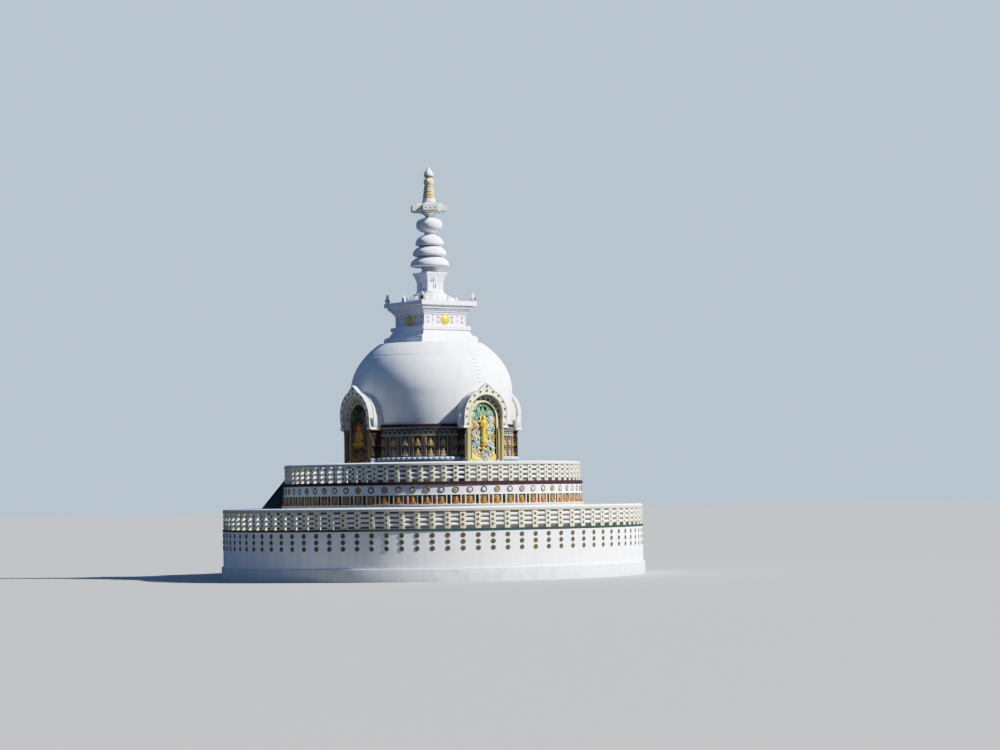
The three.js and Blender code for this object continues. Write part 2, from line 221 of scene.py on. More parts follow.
# where the left and right porches are, which take painted shade: how far out, how far aside and how high up
shadedPorchLimits = [("X", "GREATER_THAN", 4.9), ("Y", "LESS_THAN", 1.72), ("Z", "GREATER_THAN", 7.6)]


def buildPorchPaintedShade():
    # painted shade: the colours on the left and right porches are darkened, standing in for the shade the
    # left porch lies in; the right porch is darkened the same way
    tree, given, result = startGroup("porchPaintedShade", "ShaderNodeTree",
                                     {"Vector": "Vector", "Colour": "Color", "ShadeTint": "Color"},
                                     {"Colour": "Color"})
    split = addNode(tree, "ShaderNodeSeparateXYZ", {0: given["Vector"]}).outputs
    inside = 1.0
    for axis, test, limit in shadedPorchLimits:
        far = maths(tree, "ABSOLUTE", split[axis])
        inside = maths(tree, "MULTIPLY", inside, maths(tree, test, far, limit))
    fill(result, {"Colour": mix(tree, inside, given["Colour"], given["ShadeTint"], "MULTIPLY")})
    return tree


agedPaint = buildAgedPaint()
porchPaintedShade = buildPorchPaintedShade()
finishes = {}
# painted shade: how far each paint is darkened on the left and right porches
paintedShadeTones = {
    "leafGreen": (0.40, 0.42, 0.22), "turquoise": (0.40, 0.30, 0.18), "limeGreen": (0.40, 0.42, 0.25),
    "petalWhite": (0.36, 0.26, 0.26), "paleGrey": (0.34, 0.20, 0.20), "lilacPaint": (0.44, 0.36, 0.36),
    "skyBlue": (0.36, 0.20, 0.16), "deepBlue": (0.40, 0.30, 0.30), "coralPaint": (0.30, 0.20, 0.20),
    "nightGreen": (0.60, 0.40, 0.40), "sunYellow": (0.40, 0.24, 0.14), "reliefGround": (0.30, 0.20, 0.18),
    "robeGold": (0.66, 0.46, 0.28), "goldLeaf": (0.74, 0.52, 0.30), "columnGold": (0.46, 0.36, 0.38),
    "paleYellow": (0.74, 0.72, 0.84), "umber": (0.55, 0.50, 0.50), "greyBrown": (0.32, 0.27, 0.22)}


def withPaintedShade(name, tree, place, colour):
    # the colour, or where the paint takes painted shade, the colour darkened on the left and right porches
    if name not in paintedShadeTones:
        return colour
    inputs = {"Vector": place, "Colour": colour, "ShadeTint": (*paintedShadeTones[name], 1)}
    return addNode(tree, "ShaderNodeGroup", inputs, node_tree=porchPaintedShade).outputs["Colour"]


def paint(name, colour, stain, amount, scale, streak, rough=0.78, bump=0.35, metallic=0.0, shine=0.12):
    material, tree, shader = startMaterial(name, {"Metallic": metallic, "Specular IOR Level": shine})
    place = addNode(tree, "ShaderNodeTexCoord").outputs["Object"]
    group = addNode(tree, "ShaderNodeGroup", {
        "Vector": place, "Colour": (*colour, 1), "Stain": (*stain, 1), "Amount": amount, "Scale": scale,
        "Streak": streak, "Roughness": rough}, node_tree=agedPaint).outputs
    relief = addNode(tree, "ShaderNodeBump", {"Strength": bump, "Distance": 0.02, "Height": group["Height"]})
    fill(shader, {"Base Color": withPaintedShade(name, tree, place, group["Colour"]), "Roughness": group["Roughness"],
                  "Normal": relief.outputs["Normal"]})
    finishes[name] = material


# each paint's colour and stain, then how much of it, its scale and how far it runs down
paint("whitewash", (0.84, 0.86, 0.90), (0.55, 0.57, 0.60), 0.35, 0.9, 0.75)
paint("domePlaster", (0.83, 0.85, 0.88), (0.60, 0.63, 0.68), 0.5, 0.55, 0.6, bump=0.5)
paint("greyRender", (0.66, 0.68, 0.71), (0.40, 0.42, 0.46), 0.5, 1.2, 0.4)
paint("terraceFloor", (0.12, 0.115, 0.105), (0.08, 0.08, 0.075), 0.5, 0.8, 0.0)
paint("concreteFloor", (0.50, 0.50, 0.49), (0.33, 0.33, 0.32), 0.5, 0.8, 0.0)
paint("creamPaint", (0.80, 0.76, 0.60), (0.50, 0.44, 0.34), 0.4, 2.2, 0.6)
paint("oliveGold", (0.155, 0.135, 0.06), (0.06, 0.06, 0.05), 0.6, 9.0, 0.3, 0.6)
paint("discGrey", (0.31, 0.29, 0.21), (0.16, 0.15, 0.12), 0.6, 6.0, 0.3)
paint("discOlive", (0.12, 0.105, 0.05), (0.03, 0.03, 0.025), 0.6, 9.0, 0.3)
paint("columnGold", (0.47, 0.39, 0.18), (0.30, 0.22, 0.11), 0.6, 3.0, 0.7)
paint("shellWhite", (0.82, 0.80, 0.78), (0.58, 0.54, 0.50), 0.4, 2.2, 0.6)
paint("rimPaint", (0.74, 0.70, 0.56), (0.42, 0.40, 0.32), 0.4, 6.0, 0.3)
paint("darkTrim", (0.035, 0.016, 0.018), (0.015, 0.025, 0.025), 0.6, 1.5, 0.0)
paint("greenTrim", (0.03, 0.07, 0.065), (0.02, 0.03, 0.04), 0.6, 2.0, 0.0)
paint("maroon", (0.15, 0.035, 0.03), (0.06, 0.018, 0.018), 0.5, 3.0, 0.3)
paint("umber", (0.30, 0.15, 0.07), (0.12, 0.07, 0.04), 0.5, 3.0, 0.3)
paint("figureGold", (0.50, 0.29, 0.07), (0.26, 0.13, 0.04), 0.45, 5.0, 0.2)
paint("figureYellow", (0.54, 0.41, 0.12), (0.30, 0.20, 0.06), 0.45, 5.0, 0.2)
paint("figureCream", (0.52, 0.45, 0.26), (0.30, 0.24, 0.14), 0.45, 5.0, 0.2)
paint("figureSkin", (0.50, 0.32, 0.15), (0.30, 0.17, 0.08), 0.35, 6.0, 0.2)
paint("dustyRose", (0.46, 0.37, 0.32), (0.28, 0.20, 0.17), 0.45, 4.0, 0.3)
paint("duskGreen", (0.05, 0.06, 0.045), (0.02, 0.03, 0.03), 0.5, 4.0, 0.3)
paint("tealTrim", (0.20, 0.26, 0.20), (0.06, 0.10, 0.09), 0.6, 3.0, 0.2)
paint("blueTrim", (0.15, 0.18, 0.25), (0.05, 0.06, 0.11), 0.6, 3.0, 0.2)
paint("khakiTrim", (0.36, 0.33, 0.18), (0.22, 0.18, 0.10), 0.5, 5.0, 0.2)
paint("copingGrey", (0.54, 0.54, 0.51), (0.36, 0.36, 0.34), 0.5, 2.4, 0.5)
# the vault plaster is darker than the whitewash: a warm tone of its own, and painted shade on the vaults,
# soffits and hood shells
paint("vaultPlasterAndShade", (0.66, 0.65, 0.60), (0.36, 0.39, 0.44), 0.5, 1.2, 0.5)
paint("dadoBrownAndShade", (0.10, 0.055, 0.04), (0.05, 0.03, 0.03), 0.6, 0.9, 0.0)
paint("dadoOliveAndShade", (0.13, 0.12, 0.08), (0.06, 0.06, 0.05), 0.6, 0.9, 0.0)
paint("paleRose", (0.46, 0.40, 0.37), (0.40, 0.33, 0.32), 0.45, 4.0, 0.3)
paint("ledgeBlue", (0.42, 0.53, 0.62), (0.20, 0.30, 0.42), 0.5, 4.0, 0.2)
paint("dullMaroon", (0.075, 0.024, 0.030), (0.03, 0.012, 0.016), 0.5, 3.0, 0.3)
paint("ringBrown", (0.34, 0.22, 0.15), (0.20, 0.14, 0.10), 0.5, 8.0, 0.2)
paint("dullGold", (0.42, 0.29, 0.10), (0.26, 0.17, 0.08), 0.5, 8.0, 0.2)
paint("nicheOlive", (0.17, 0.15, 0.055), (0.08, 0.06, 0.03), 0.5, 4.0, 0.3)
paint("faintRose", (0.68, 0.46, 0.52), (0.46, 0.30, 0.36), 0.4, 5.0, 0.3)
paint("faintLilac", (0.64, 0.55, 0.70), (0.44, 0.36, 0.48), 0.4, 5.0, 0.3)
paint("faintGreen", (0.36, 0.50, 0.40), (0.20, 0.30, 0.24), 0.4, 5.0, 0.3)
paint("slotGrey", (0.26, 0.24, 0.25), (0.16, 0.15, 0.15), 0.4, 5.0, 0.3)
paint("creamWhite", (0.86, 0.85, 0.80), (0.60, 0.57, 0.50), 0.4, 2.4, 0.4)
paint("finialOchre", (0.62, 0.48, 0.26), (0.34, 0.24, 0.14), 0.6, 5.0, 0.3)
paint("postBrown", (0.19, 0.07, 0.05), (0.08, 0.03, 0.025), 0.5, 3.0, 0.3)
paint("ledgeShade", (0.20, 0.28, 0.36), (0.10, 0.14, 0.20), 0.5, 3.0, 0.3)
paint("nightGreen", (0.014, 0.030, 0.036), (0.03, 0.045, 0.05), 0.4, 2.0, 0.3)
paint("greyBrown", (0.22, 0.17, 0.13), (0.12, 0.09, 0.07), 0.5, 12.0, 0.2)
paint("roseBrown", (0.40, 0.21, 0.18), (0.24, 0.12, 0.10), 0.5, 12.0, 0.2)
paint("soot", (0.012, 0.012, 0.016), (0.022, 0.02, 0.02), 0.4, 3.0, 0.3)
paint("robeOrange", (0.58, 0.20, 0.07), (0.32, 0.11, 0.05), 0.45, 5.0, 0.2)
paint("robeGold", (0.72, 0.42, 0.07), (0.40, 0.20, 0.04), 0.45, 4.0, 0.2, 0.5)
paint("goldLeaf", (0.86, 0.56, 0.08), (0.55, 0.30, 0.05), 0.4, 3.0, 0.2, 0.42, metallic=0.25, shine=0.4)
paint("skinGold", (0.60, 0.37, 0.14), (0.38, 0.20, 0.08), 0.35, 6.0, 0.2, 0.5)
paint("hairBlue", (0.03, 0.05, 0.12), (0.02, 0.02, 0.03), 0.4, 8.0, 0.2)
paint("leafGreen", (0.10, 0.30, 0.13), (0.04, 0.12, 0.07), 0.5, 4.0, 0.2)
paint("limeGreen", (0.42, 0.58, 0.16), (0.18, 0.28, 0.08), 0.45, 4.0, 0.2)
paint("turquoise", (0.22, 0.52, 0.48), (0.10, 0.26, 0.28), 0.45, 4.0, 0.2)
paint("skyBlue", (0.30, 0.50, 0.68), (0.14, 0.26, 0.42), 0.45, 4.0, 0.2)
paint("deepBlue", (0.06, 0.17, 0.36), (0.03, 0.07, 0.16), 0.45, 4.0, 0.2)
paint("petalWhite", (0.82, 0.84, 0.82), (0.50, 0.52, 0.50), 0.4, 5.0, 0.3)
paint("coralPaint", (0.70, 0.30, 0.16), (0.40, 0.14, 0.08), 0.4, 4.0, 0.2)
paint("sunYellow", (0.84, 0.66, 0.20), (0.56, 0.38, 0.10), 0.4, 3.0, 0.3)
paint("lilacPaint", (0.56, 0.46, 0.62), (0.36, 0.28, 0.40), 0.4, 5.0, 0.3)
paint("paleGrey", (0.52, 0.51, 0.47), (0.34, 0.32, 0.29), 0.4, 3.0, 0.3)
paint("paleYellow", (0.76, 0.66, 0.33), (0.50, 0.40, 0.18), 0.45, 4.0, 0.4)

mosaic = {"scale": 6.5, "joint": 0.12, "jointTone": (0.05, 0.08, 0.05, 1), "blend": 0.3, "bands": [
    (7.0, [(0.80, 0.60, 0.16), (0.66, 0.32, 0.10), (0.80, 0.70, 0.35),
          (0.16, 0.40, 0.38), (0.74, 0.52, 0.12)]),
    (8.4, [(0.55, 0.52, 0.57), (0.72, 0.66, 0.42), (0.70, 0.54, 0.16),
          (0.28, 0.46, 0.34), (0.06, 0.12, 0.08)]),
    (10.3, [(0.22, 0.44, 0.30), (0.42, 0.54, 0.14), (0.10, 0.28, 0.14),
           (0.12, 0.36, 0.33), (0.44, 0.60, 0.50)])]}


def mosaicPaint(name, scale, joint, jointTone, blend, bands):
    # small cells of colour with dark joints, in bands from the foot up
    material, tree, shader = startMaterial(name, {"Roughness": 0.8, "Specular IOR Level": 0.12})
    place = addNode(tree, "ShaderNodeTexCoord").outputs["Object"]
    where = {"Vector": place, "Scale": scale}
    cells = addNode(tree, "ShaderNodeTexVoronoi", where).outputs["Color"]
    joints = addNode(tree, "ShaderNodeTexVoronoi", where, feature="DISTANCE_TO_EDGE").outputs["Distance"]
    pick = addNode(tree, "ShaderNodeSeparateXYZ", {0: cells}).outputs[0]
    height = addNode(tree, "ShaderNodeSeparateXYZ", {0: place}).outputs["Z"]
    tone = None
    for level, colours in bands:
        ramp = addNode(tree, "ShaderNodeValToRGB", {0: pick})
        ramp.color_ramp.interpolation = "CONSTANT"
        stops = ramp.color_ramp.elements
        for k, colour in enumerate(colours):
            stop = stops[k] if k < 2 else stops.new(0.5)
            stop.position = k / len(colours)
            stop.color = (*colour, 1)
        rise = mapped(tree, height, level - blend, level + blend)
        tone = mix(tree, rise, tone, ramp.outputs[0]) if tone else ramp.outputs[0]
    shade = mix(tree, mapped(tree, joints, 0.0, joint), jointTone, tone)
    fill(shader, {"Base Color": withPaintedShade(name, tree, place, shade)})
    finishes[name] = material


mosaicPaint("reliefGround", **mosaic)
print("finishes made:", len(finishes))


# shaping helpers

def pieceFrom(name, shape, finish, edge):
    # a smooth mesh object, with hard edges where it turns by more than edge degrees
    bmesh.ops.remove_doubles(shape, verts=shape.verts, dist=0.00002)
    bmesh.ops.recalc_face_normals(shape, faces=shape.faces)
    for face in shape.faces:
        face.smooth = True
    for line in shape.edges:
        if len(line.link_faces) == 2 and line.calc_face_angle(0) > math.radians(edge):
            line.smooth = False
    mesh = bpy.data.meshes.new(name)
    shape.to_mesh(mesh)
    shape.free()
    mesh.materials.append(finishes[finish])
    return newObject(name, mesh)


def addFaces(shape, points, faces):
    made = [shape.verts.new(point) for point in points]
    for face in faces:
        shape.faces.new([made[i] for i in face])


def joinInto(shape, other, matrix=None):
    if matrix is not None:
        bmesh.ops.transform(other, matrix=matrix, verts=other.verts)
    mesh = bpy.data.meshes.new("carry")
    other.to_mesh(mesh)
    other.free()
    shape.from_mesh(mesh)
    bpy.data.meshes.remove(mesh)


def addSweep(shape, section, start, sweep, steps):
    # carries a closed section of radius and height round the axis
    whole = abs(sweep) > 359.9
    count = len(section)
    turns = steps if whole else steps + 1
    points, faces = [], []
    for step in range(turns):
        angle = math.radians(start + sweep * step / steps)
        points += [(r * math.cos(angle), r * math.sin(angle), z) for r, z in section]
    for step in range(steps):
        near, far = step * count, ((step + 1) % turns) * count
        faces += [(near + i, near + (i + 1) % count, far + (i + 1) % count, far + i) for i in range(count)]
    if not whole:
        faces += [tuple(range(count))[::-1], tuple(range(steps * count, steps * count + count))]
    addFaces(shape, points, faces)


def addTurned(shape, profile, steps, place=(0, 0)):
    # a closed turned solid from a list of radius and height, bottom first
    points, faces = [(*place, profile[0][1])], []
    for r, z in profile:
        for step in range(steps):
            angle = 2 * math.pi * step / steps
            points.append((place[0] + r * math.cos(angle), place[1] + r * math.sin(angle), z))
    points.append((*place, profile[-1][1]))
    last = len(points) - 1
    top = last - steps
    for step in range(steps):
        beside = (step + 1) % steps
        faces.append((0, 1 + beside, 1 + step))
        for near in range(1, top, steps):
            far = near + steps
            faces.append((near + step, near + beside, far + beside, far + step))
        faces.append((top + step, top + beside, last))
    addFaces(shape, points, faces)


def addBlock(shape, low, high, bevel=0.0):
    block = bmesh.new()
    bmesh.ops.create_cube(block, size=1)
    for point in block.verts:
        point.co = Vector([low[i] + (point.co[i] + 0.5) * (high[i] - low[i]) for i in range(3)])
    if bevel:
        bmesh.ops.bevel(block, geom=block.edges[:], offset=bevel, segments=2, profile=0.6, affect="EDGES")
    joinInto(shape, block)


def addPair(shape, low, high, bevel=0.0, axis=0):
    # a block and its mirror image across the middle
    for side in (-1, 1):
        corners = [list(low), list(high)]
        corners[0][axis], corners[1][axis] = sorted((side * low[axis], side * high[axis]))
        addBlock(shape, *corners, bevel)


def addBall(shape, centre, radii, across=12, down=8, turn=Matrix()):
    ball = bmesh.new()
    bmesh.ops.create_uvsphere(ball, u_segments=across, v_segments=down, radius=1)
    joinInto(shape, ball, Matrix.Translation(centre) @ turn @ Matrix.Diagonal((*radii, 1)))


def addPlate(shape, outline, front, back, bevel=0.0, matrix=None):
    # an outline in x and z between two depths along y
    plate = bmesh.new()
    face = plate.faces.new([plate.verts.new((x, front, z)) for x, z in outline])
    rim = plate.edges[:]
    for point in bmesh.ops.extrude_face_region(plate, geom=[face])["geom"]:
        if isinstance(point, bmesh.types.BMVert):
            point.co.y = back
    if bevel:
        bmesh.ops.bevel(plate, geom=rim, offset=bevel, segments=2, profile=0.6, affect="EDGES")
    bmesh.ops.recalc_face_normals(plate, faces=plate.faces)
    joinInto(shape, plate, matrix)


def addBand(shape, inner, outer, front, back):
    # a band between two outlines of as many points each, open at its feet
    count = len(inner)
    points = [(x, y, z) for y in (front, back) for line in (inner, outer) for x, z in line]
    fi, fo, bi, bo = (k * count for k in range(4))
    faces = []
    for i in range(count - 1):
        faces += [(fi + i, fo + i, fo + i + 1, fi + i + 1), (bi + i, bi + i + 1, bo + i + 1, bo + i),
                  (fo + i, bo + i, bo + i + 1, fo + i + 1), (fi + i, fi + i + 1, bi + i + 1, bi + i)]
    end = count - 1
    faces += [(fi, bi, bo, fo), (fi + end, fo + end, bo + end, bi + end)]
    addFaces(shape, points, faces)


def placedShape(shape, matrix):
    bmesh.ops.transform(shape, matrix=matrix, verts=shape.verts)
    return shape


def spun(degrees, axis="Z"):
    return Matrix.Rotation(math.radians(degrees), 4, axis)


def moved(x, y, z):
    return Matrix.Translation((x, y, z))


def oblong(near, far, low, high):
    # a section of radius and height
    return [(near, low), (far, low), (far, high), (near, high)]


def buildRepeat():
    # copies a template round the upright axis, in groups and in rows
    tree, given, result = startGroup(
        "repeatRound", "GeometryNodeTree",
        {"Geometry": "Geometry", "Count": "Int", "First Angle": "Float", "Step Angle": "Float",
         "Groups": "Int", "Group Angle": "Float", "Rows": "Int", "Row Shift": "Vector", "Finish": "Material"},
        {"Geometry": "Geometry"})
    perRow = maths(tree, "MULTIPLY", given["Count"], given["Groups"])
    points = addNode(tree, "GeometryNodePoints", {"Count": maths(tree, "MULTIPLY", perRow, given["Rows"])})
    index = addNode(tree, "GeometryNodeInputIndex").outputs[0]
    inGroup = maths(tree, "MODULO", index, given["Count"])
    whole = maths(tree, "FLOOR", maths(tree, "DIVIDE", index, given["Count"]))
    group = maths(tree, "MODULO", whole, given["Groups"])
    row = maths(tree, "FLOOR", maths(tree, "DIVIDE", index, perRow))
    turned = maths(tree, "ADD", maths(tree, "MULTIPLY", inGroup, given["Step Angle"]),
                   maths(tree, "MULTIPLY", group, given["Group Angle"]))
    angle = maths(tree, "RADIANS", maths(tree, "ADD", turned, given["First Angle"]))
    shift = addNode(tree, "ShaderNodeVectorMath", {0: given["Row Shift"], "Scale": row}, operation="SCALE")
    spots = addNode(tree, "GeometryNodeSetPosition", {"Geometry": points.outputs[0],
                                                      "Position": shift.outputs[0]})
    rotation = addNode(tree, "FunctionNodeAxisAngleToRotation", {"Axis": (0, 0, 1), "Angle": angle})
    copies = addNode(tree, "GeometryNodeInstanceOnPoints", {
        "Points": spots.outputs[0], "Instance": given["Geometry"], "Rotation": rotation.outputs[0]})
    real = addNode(tree, "GeometryNodeRealizeInstances", {0: copies.outputs[0]})
    fill(result, {0: addNode(tree, "GeometryNodeSetMaterial", {
        "Geometry": real.outputs[0], "Material": given["Finish"]}).outputs[0]})
    return tree


repeatRound = buildRepeat()


def repeat(piece, count, first, step, groups=1, groupStep=0, rows=1, rowGap=0):
    # copies a piece round the axis, and turns the copies into its own mesh
    modifier = piece.modifiers.new("repeat", "NODES")
    modifier.node_group = repeatRound
    finish = piece.data.materials[0]
    values = {"Count": count, "First Angle": float(first), "Step Angle": float(step), "Groups": groups,
              "Group Angle": float(groupStep), "Rows": rows, "Row Shift": (0, 0, rowGap), "Finish": finish}
    for item in repeatRound.interface.items_tree:
        if item.in_out == "INPUT" and item.name in values:
            modifier[item.identifier] = values[item.name]
    seen = piece.evaluated_get(bpy.context.evaluated_depsgraph_get())
    mesh = bpy.data.meshes.new_from_object(seen)
    piece.modifiers.clear()
    piece.data = mesh
    mesh.name = piece.name
    mesh.materials.clear()
    mesh.materials.append(finish)


def placePiece(name, shape, finish, nodes=(), edge=32, copies=()):
    # a piece of the body, repeated where copies says how, which stands for the nodes
    piece = pieceFrom(name, shape, finish, edge)
    if copies:
        repeat(piece, *copies)
    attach(piece, "root")
    if nodes:
        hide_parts(*nodes)


def turnedPiece(name, profile, finish, nodes=(), edge=30, steps=96):
    shape = bmesh.new()
    addTurned(shape, profile, steps)
    placePiece(name, shape, finish, nodes, edge)


# round masses

masses = {
    "plinth_course": ("greyRender", "grey_render", 0.03), "lower_drum": ("whitewash", "whitewash", 0.0),
    "lower_terrace": ("greenTrim", "stair_concrete", 0.02), "middle_base": ("whitewash", "whitewash", 0.02),
    "niche_band": ("rimPaint", "carved_paint", 0.0), "medallion_band": ("whitewash", "whitewash", 0.0),
    "upper_terrace": ("darkTrim", "dark_trim", 0.02), "shrine_base": ("whitewash", "whitewash", 0.02),
    "petal_ledge": ("ledgeBlue", "blue_trim", 0.02), "frieze_drum": ("umber", "carved_paint", 0.0),
    # the eaves band's skin is near black as painted shade from the overhang above; its own colours are in its
    # petals and lines
    "eaves_band": ("duskGreen", "dark_trim", 0.0), "eaves_cornice": ("darkTrim", "dark_trim", 0.04)}
# how far some skins stand out from their nodes, so that the slabs hardly overhang the walls
skinShift = {"lower_drum": 0.08, "lower_terrace": -0.04, "upper_terrace": -0.12, "medallion_band": -0.06}


def edges(node):
    # a round node's radius as it is drawn, and its two heights
    low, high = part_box(node)
    return high.x + skinShift.get(node, 0.0), low.z, high.z


def buildMasses():
    for node, (finish, slot, ease) in masses.items():
        radius, low, high = edges(node)
        profile = [(radius, low), (radius, high)]
        if ease:
            profile = [(radius, low), (radius, high - ease), (radius - ease * 0.3, high - ease * 0.3),
                       (radius - ease, high)]
        turnedPiece(node + "_skin", profile, finish, [node], 32, 240)


buildMasses()
print("round masses made")


# discs, railings and copings

discRim = [(1.0, -0.3), (1.0, 0.7), (0.90, 1.0), (0.84, 0.2)]
discBoss = [(0.87, 0.1), (0.78, 0.7), (0.40, 0.5), (0.22, 1.0)]
outward, forward = spun(90, "Y"), spun(90, "X")

rails = {
    "lower": {"slab": "lower_terrace", "coping": "lower_coping", "radius": 14.15, "depth": 0.26,
              "width": 0.37, "firstBar": 3.60, "barGap": 0.305, "barHeight": 0.19, "bays": 80, "gap": 47.0,
              "disc": 0.100, "panels": 8},
    "upper": {"slab": "upper_terrace", "coping": "upper_coping", "radius": 10.0, "depth": 0.24,
              "width": 0.33, "firstBar": 6.57, "barGap": 0.305, "barHeight": 0.18, "bays": 70, "gap": 52.7,
              "disc": 0.095, "panels": 7}}
railing = {"postEase": 0.018, "barDepth": 0.085, "discThick": 0.022, "overhang": 0.045, "fascia": 0.62,
           "foot": 0.005}
wallDiscs = {"first": 117.4, "count": 79, "rows": 3, "low": 2.11, "gap": 0.41, "radius": 0.165,
             "thick": 0.025}


def addDisc(shape, centre, radius, thick, profile, steps=20, facing=outward):
    # a turned disc that faces +X from its centre, or the way that facing turns +Z
    disc = bmesh.new()
    addTurned(disc, [(r * radius, h * thick) for r, h in profile], steps)
    joinInto(shape, disc, Matrix.Translation(centre) @ facing)


def placeDiscs(name, centre, radius, thick, steps, finishes, copies):
    # rims and raised middles, in a paint each
    for part, profile, finish in zip(("rims", "bosses"), (discRim, discBoss), finishes):
        discs = bmesh.new()
        addDisc(discs, centre, radius, thick, profile, steps)
        placePiece(name + part, discs, finish, copies=copies)


def buildRailing(name, slab, coping, radius, depth, width, firstBar, barGap, barHeight, bays, gap, disc,
                 panels):
    pitch, first = (360 - gap) / bays, 90 + gap / 2
    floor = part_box(slab)[1].z
    low, high = (corner.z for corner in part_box(coping))
    inner, middle = radius - depth, radius - depth / 2
    posts = bmesh.new()
    addBlock(posts, (inner, -width / 2, floor), (radius, width / 2, low), railing["postEase"])
    nodes = [f"{name}_railing_{i + 1}" for i in range(panels)]
    placePiece(name + "_posts", posts, "creamPaint", nodes, copies=(bays + 1, first, pitch))

    bars = bmesh.new()
    half = math.degrees(width / 2 / middle)
    section = [(middle + railing["barDepth"] * math.cos(t), firstBar + barHeight / 2 * math.sin(t))
               for t in [math.radians(30 * k) for k in range(12)]]
    addSweep(bars, section, half, pitch - 2 * half, 1)
    placePiece(name + "_bars", bars, "whitewash", edge=40,
               copies=(bays, first, pitch, 1, 0, 3, barGap))
    placeDiscs(name + "_post_", (radius, 0, firstBar), disc, railing["discThick"], 10,
               ("rimPaint", "oliveGold"), (bays + 1, first, pitch, 1, 0, 3, barGap))

    cap, fascia = bmesh.new(), bmesh.new()
    out, into, tall = radius + railing["overhang"], inner - railing["overhang"], high - low
    crown = [(middle + (out - middle) * math.cos(t), low + tall * (0.45 + 0.55 * math.sin(t)))
             for t in [math.radians(15 * k) for k in range(13)]]
    ends = math.degrees(width / 2 / radius)
    span = (first - ends, 360 - gap + 2 * ends, 300)
    addSweep(cap, [(into, low), (out, low)] + crown, *span)
    placePiece(name + "_coping_skin", cap, "whitewash", [coping], 50)
    # a grey skin on the lower faces of each coping: partly a grey band of its own, partly painted shade below
    # the lit crown
    foot = railing["foot"]
    for near, far in ((out - 0.03, out + foot), (into - foot, into + 0.03)):
        addSweep(fascia, oblong(near, far, low + foot, low + railing["fascia"] * tall), *span)
    placePiece(name + "_coping_fascia", fascia, "copingGrey")


def buildWallDiscs(first, count, rows, low, gap, radius, thick):
    pitch = (360 - rails["lower"]["gap"]) / rails["lower"]["bays"]
    placeDiscs("wall_disc_", (edges("lower_drum")[0], 0, low), radius, thick, 12, ("discGrey", "discOlive"),
               (count, first, pitch, 1, 0, rows, gap))


def placeHoops(hoops, steps=240):
    # painted lines round a wall: name, node, low, high, how far proud, and paint
    for name, node, low, high, proud, finish in hoops:
        radius = edges(node)[0]
        hoop = bmesh.new()
        addSweep(hoop, oblong(radius - 0.05, radius + proud, low, high), 0, 360, steps)
        placePiece(name, hoop, finish)


def buildFloors():
    for name, node, inner in [("lower_floor", "lower_terrace", "middle_base"),
                              ("upper_floor", "upper_terrace", "shrine_base")]:
        outer, _, high = edges(node)
        floor = bmesh.new()
        addSweep(floor, oblong(edges(inner)[0] - 0.1, outer - 0.03, high - 0.01, high + 0.004), 0, 360, 180)
        placePiece(name, floor, "terraceFloor")


def buildDadosAndShade(drop=0.06, head=0.30, proud=0.012):
    # dark bands on the walls behind the two railings: a dado, and painted shade for what shows through the
    # gaps and beside the posts
    for name, node in [("lower", "middle_base"), ("upper", "shrine_base")]:
        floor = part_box(rails[name]["slab"])[1].z
        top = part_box(rails[name]["coping"])[1].z - drop
        placeHoops([(name + "_wall_band_and_shade", node, floor, top - head, proud, "dadoOliveAndShade"),
                                 (name + "_wall_band_and_shade_head", node, top - head, top, proud, "dadoBrownAndShade")])


for name, rail in rails.items():
    buildRailing(name, **rail)
print("railings made")
buildWallDiscs(**wallDiscs)
placeHoops([("upper_string_red", "upper_terrace", 6.19, 6.27, 0.02, "dullMaroon"),
                           ("upper_string_dark", "medallion_band", 6.12, 6.178, 0.09, "darkTrim"),
                           ("niche_foot", "middle_base", 4.76, 4.865, 0.03, "rimPaint"),
                           ("niche_head", "medallion_band", 5.465, 5.51, 0.04, "petalWhite")])
buildFloors()
buildDadosAndShade()
print("wall discs and string courses made")


# figures, made of balls: part, how many sides, centre, size and mesh steps, for a height of one

seatedBalls = [
    ("robes", 1, (0, 0, 0.10), (0.19, 0.36, 0.11), 16, 8),
    ("robes", 2, (0.03, 0.25, 0.10), (0.17, 0.17, 0.095), 10, 6),
    ("robes", 2, (0, 0.205, 0.42), (0.09, 0.075, 0.17), 8, 6),
    ("robes", 1, (0, 0, 0.38), (0.12, 0.19, 0.24), 14, 8),
    ("robes", 1, (0, 0, 0.57), (0.095, 0.225, 0.075), 14, 6),
    ("skin", 2, (0.13, 0.10, 0.235), (0.05, 0.13, 0.042), 8, 6),
    ("skin", 2, (0, 0.108, 0.755), (0.03, 0.018, 0.05), 6, 4),
    ("skin", 1, (0.085, -0.045, 0.50), (0.035, 0.075, 0.11), 8, 6),
    ("skin", 1, (0, 0, 0.645), (0.05, 0.05, 0.05), 8, 4),
    ("skin", 1, (0.015, 0, 0.76), (0.10, 0.095, 0.125), 14, 10),
    ("skin", 1, (0.115, 0, 0.745), (0.018, 0.014, 0.03), 6, 4),
    ("hair", 1, (-0.018, 0, 0.80), (0.098, 0.102, 0.11), 14, 8),
    ("hair", 1, (-0.01, 0, 0.915), (0.045, 0.045, 0.05), 8, 6)]
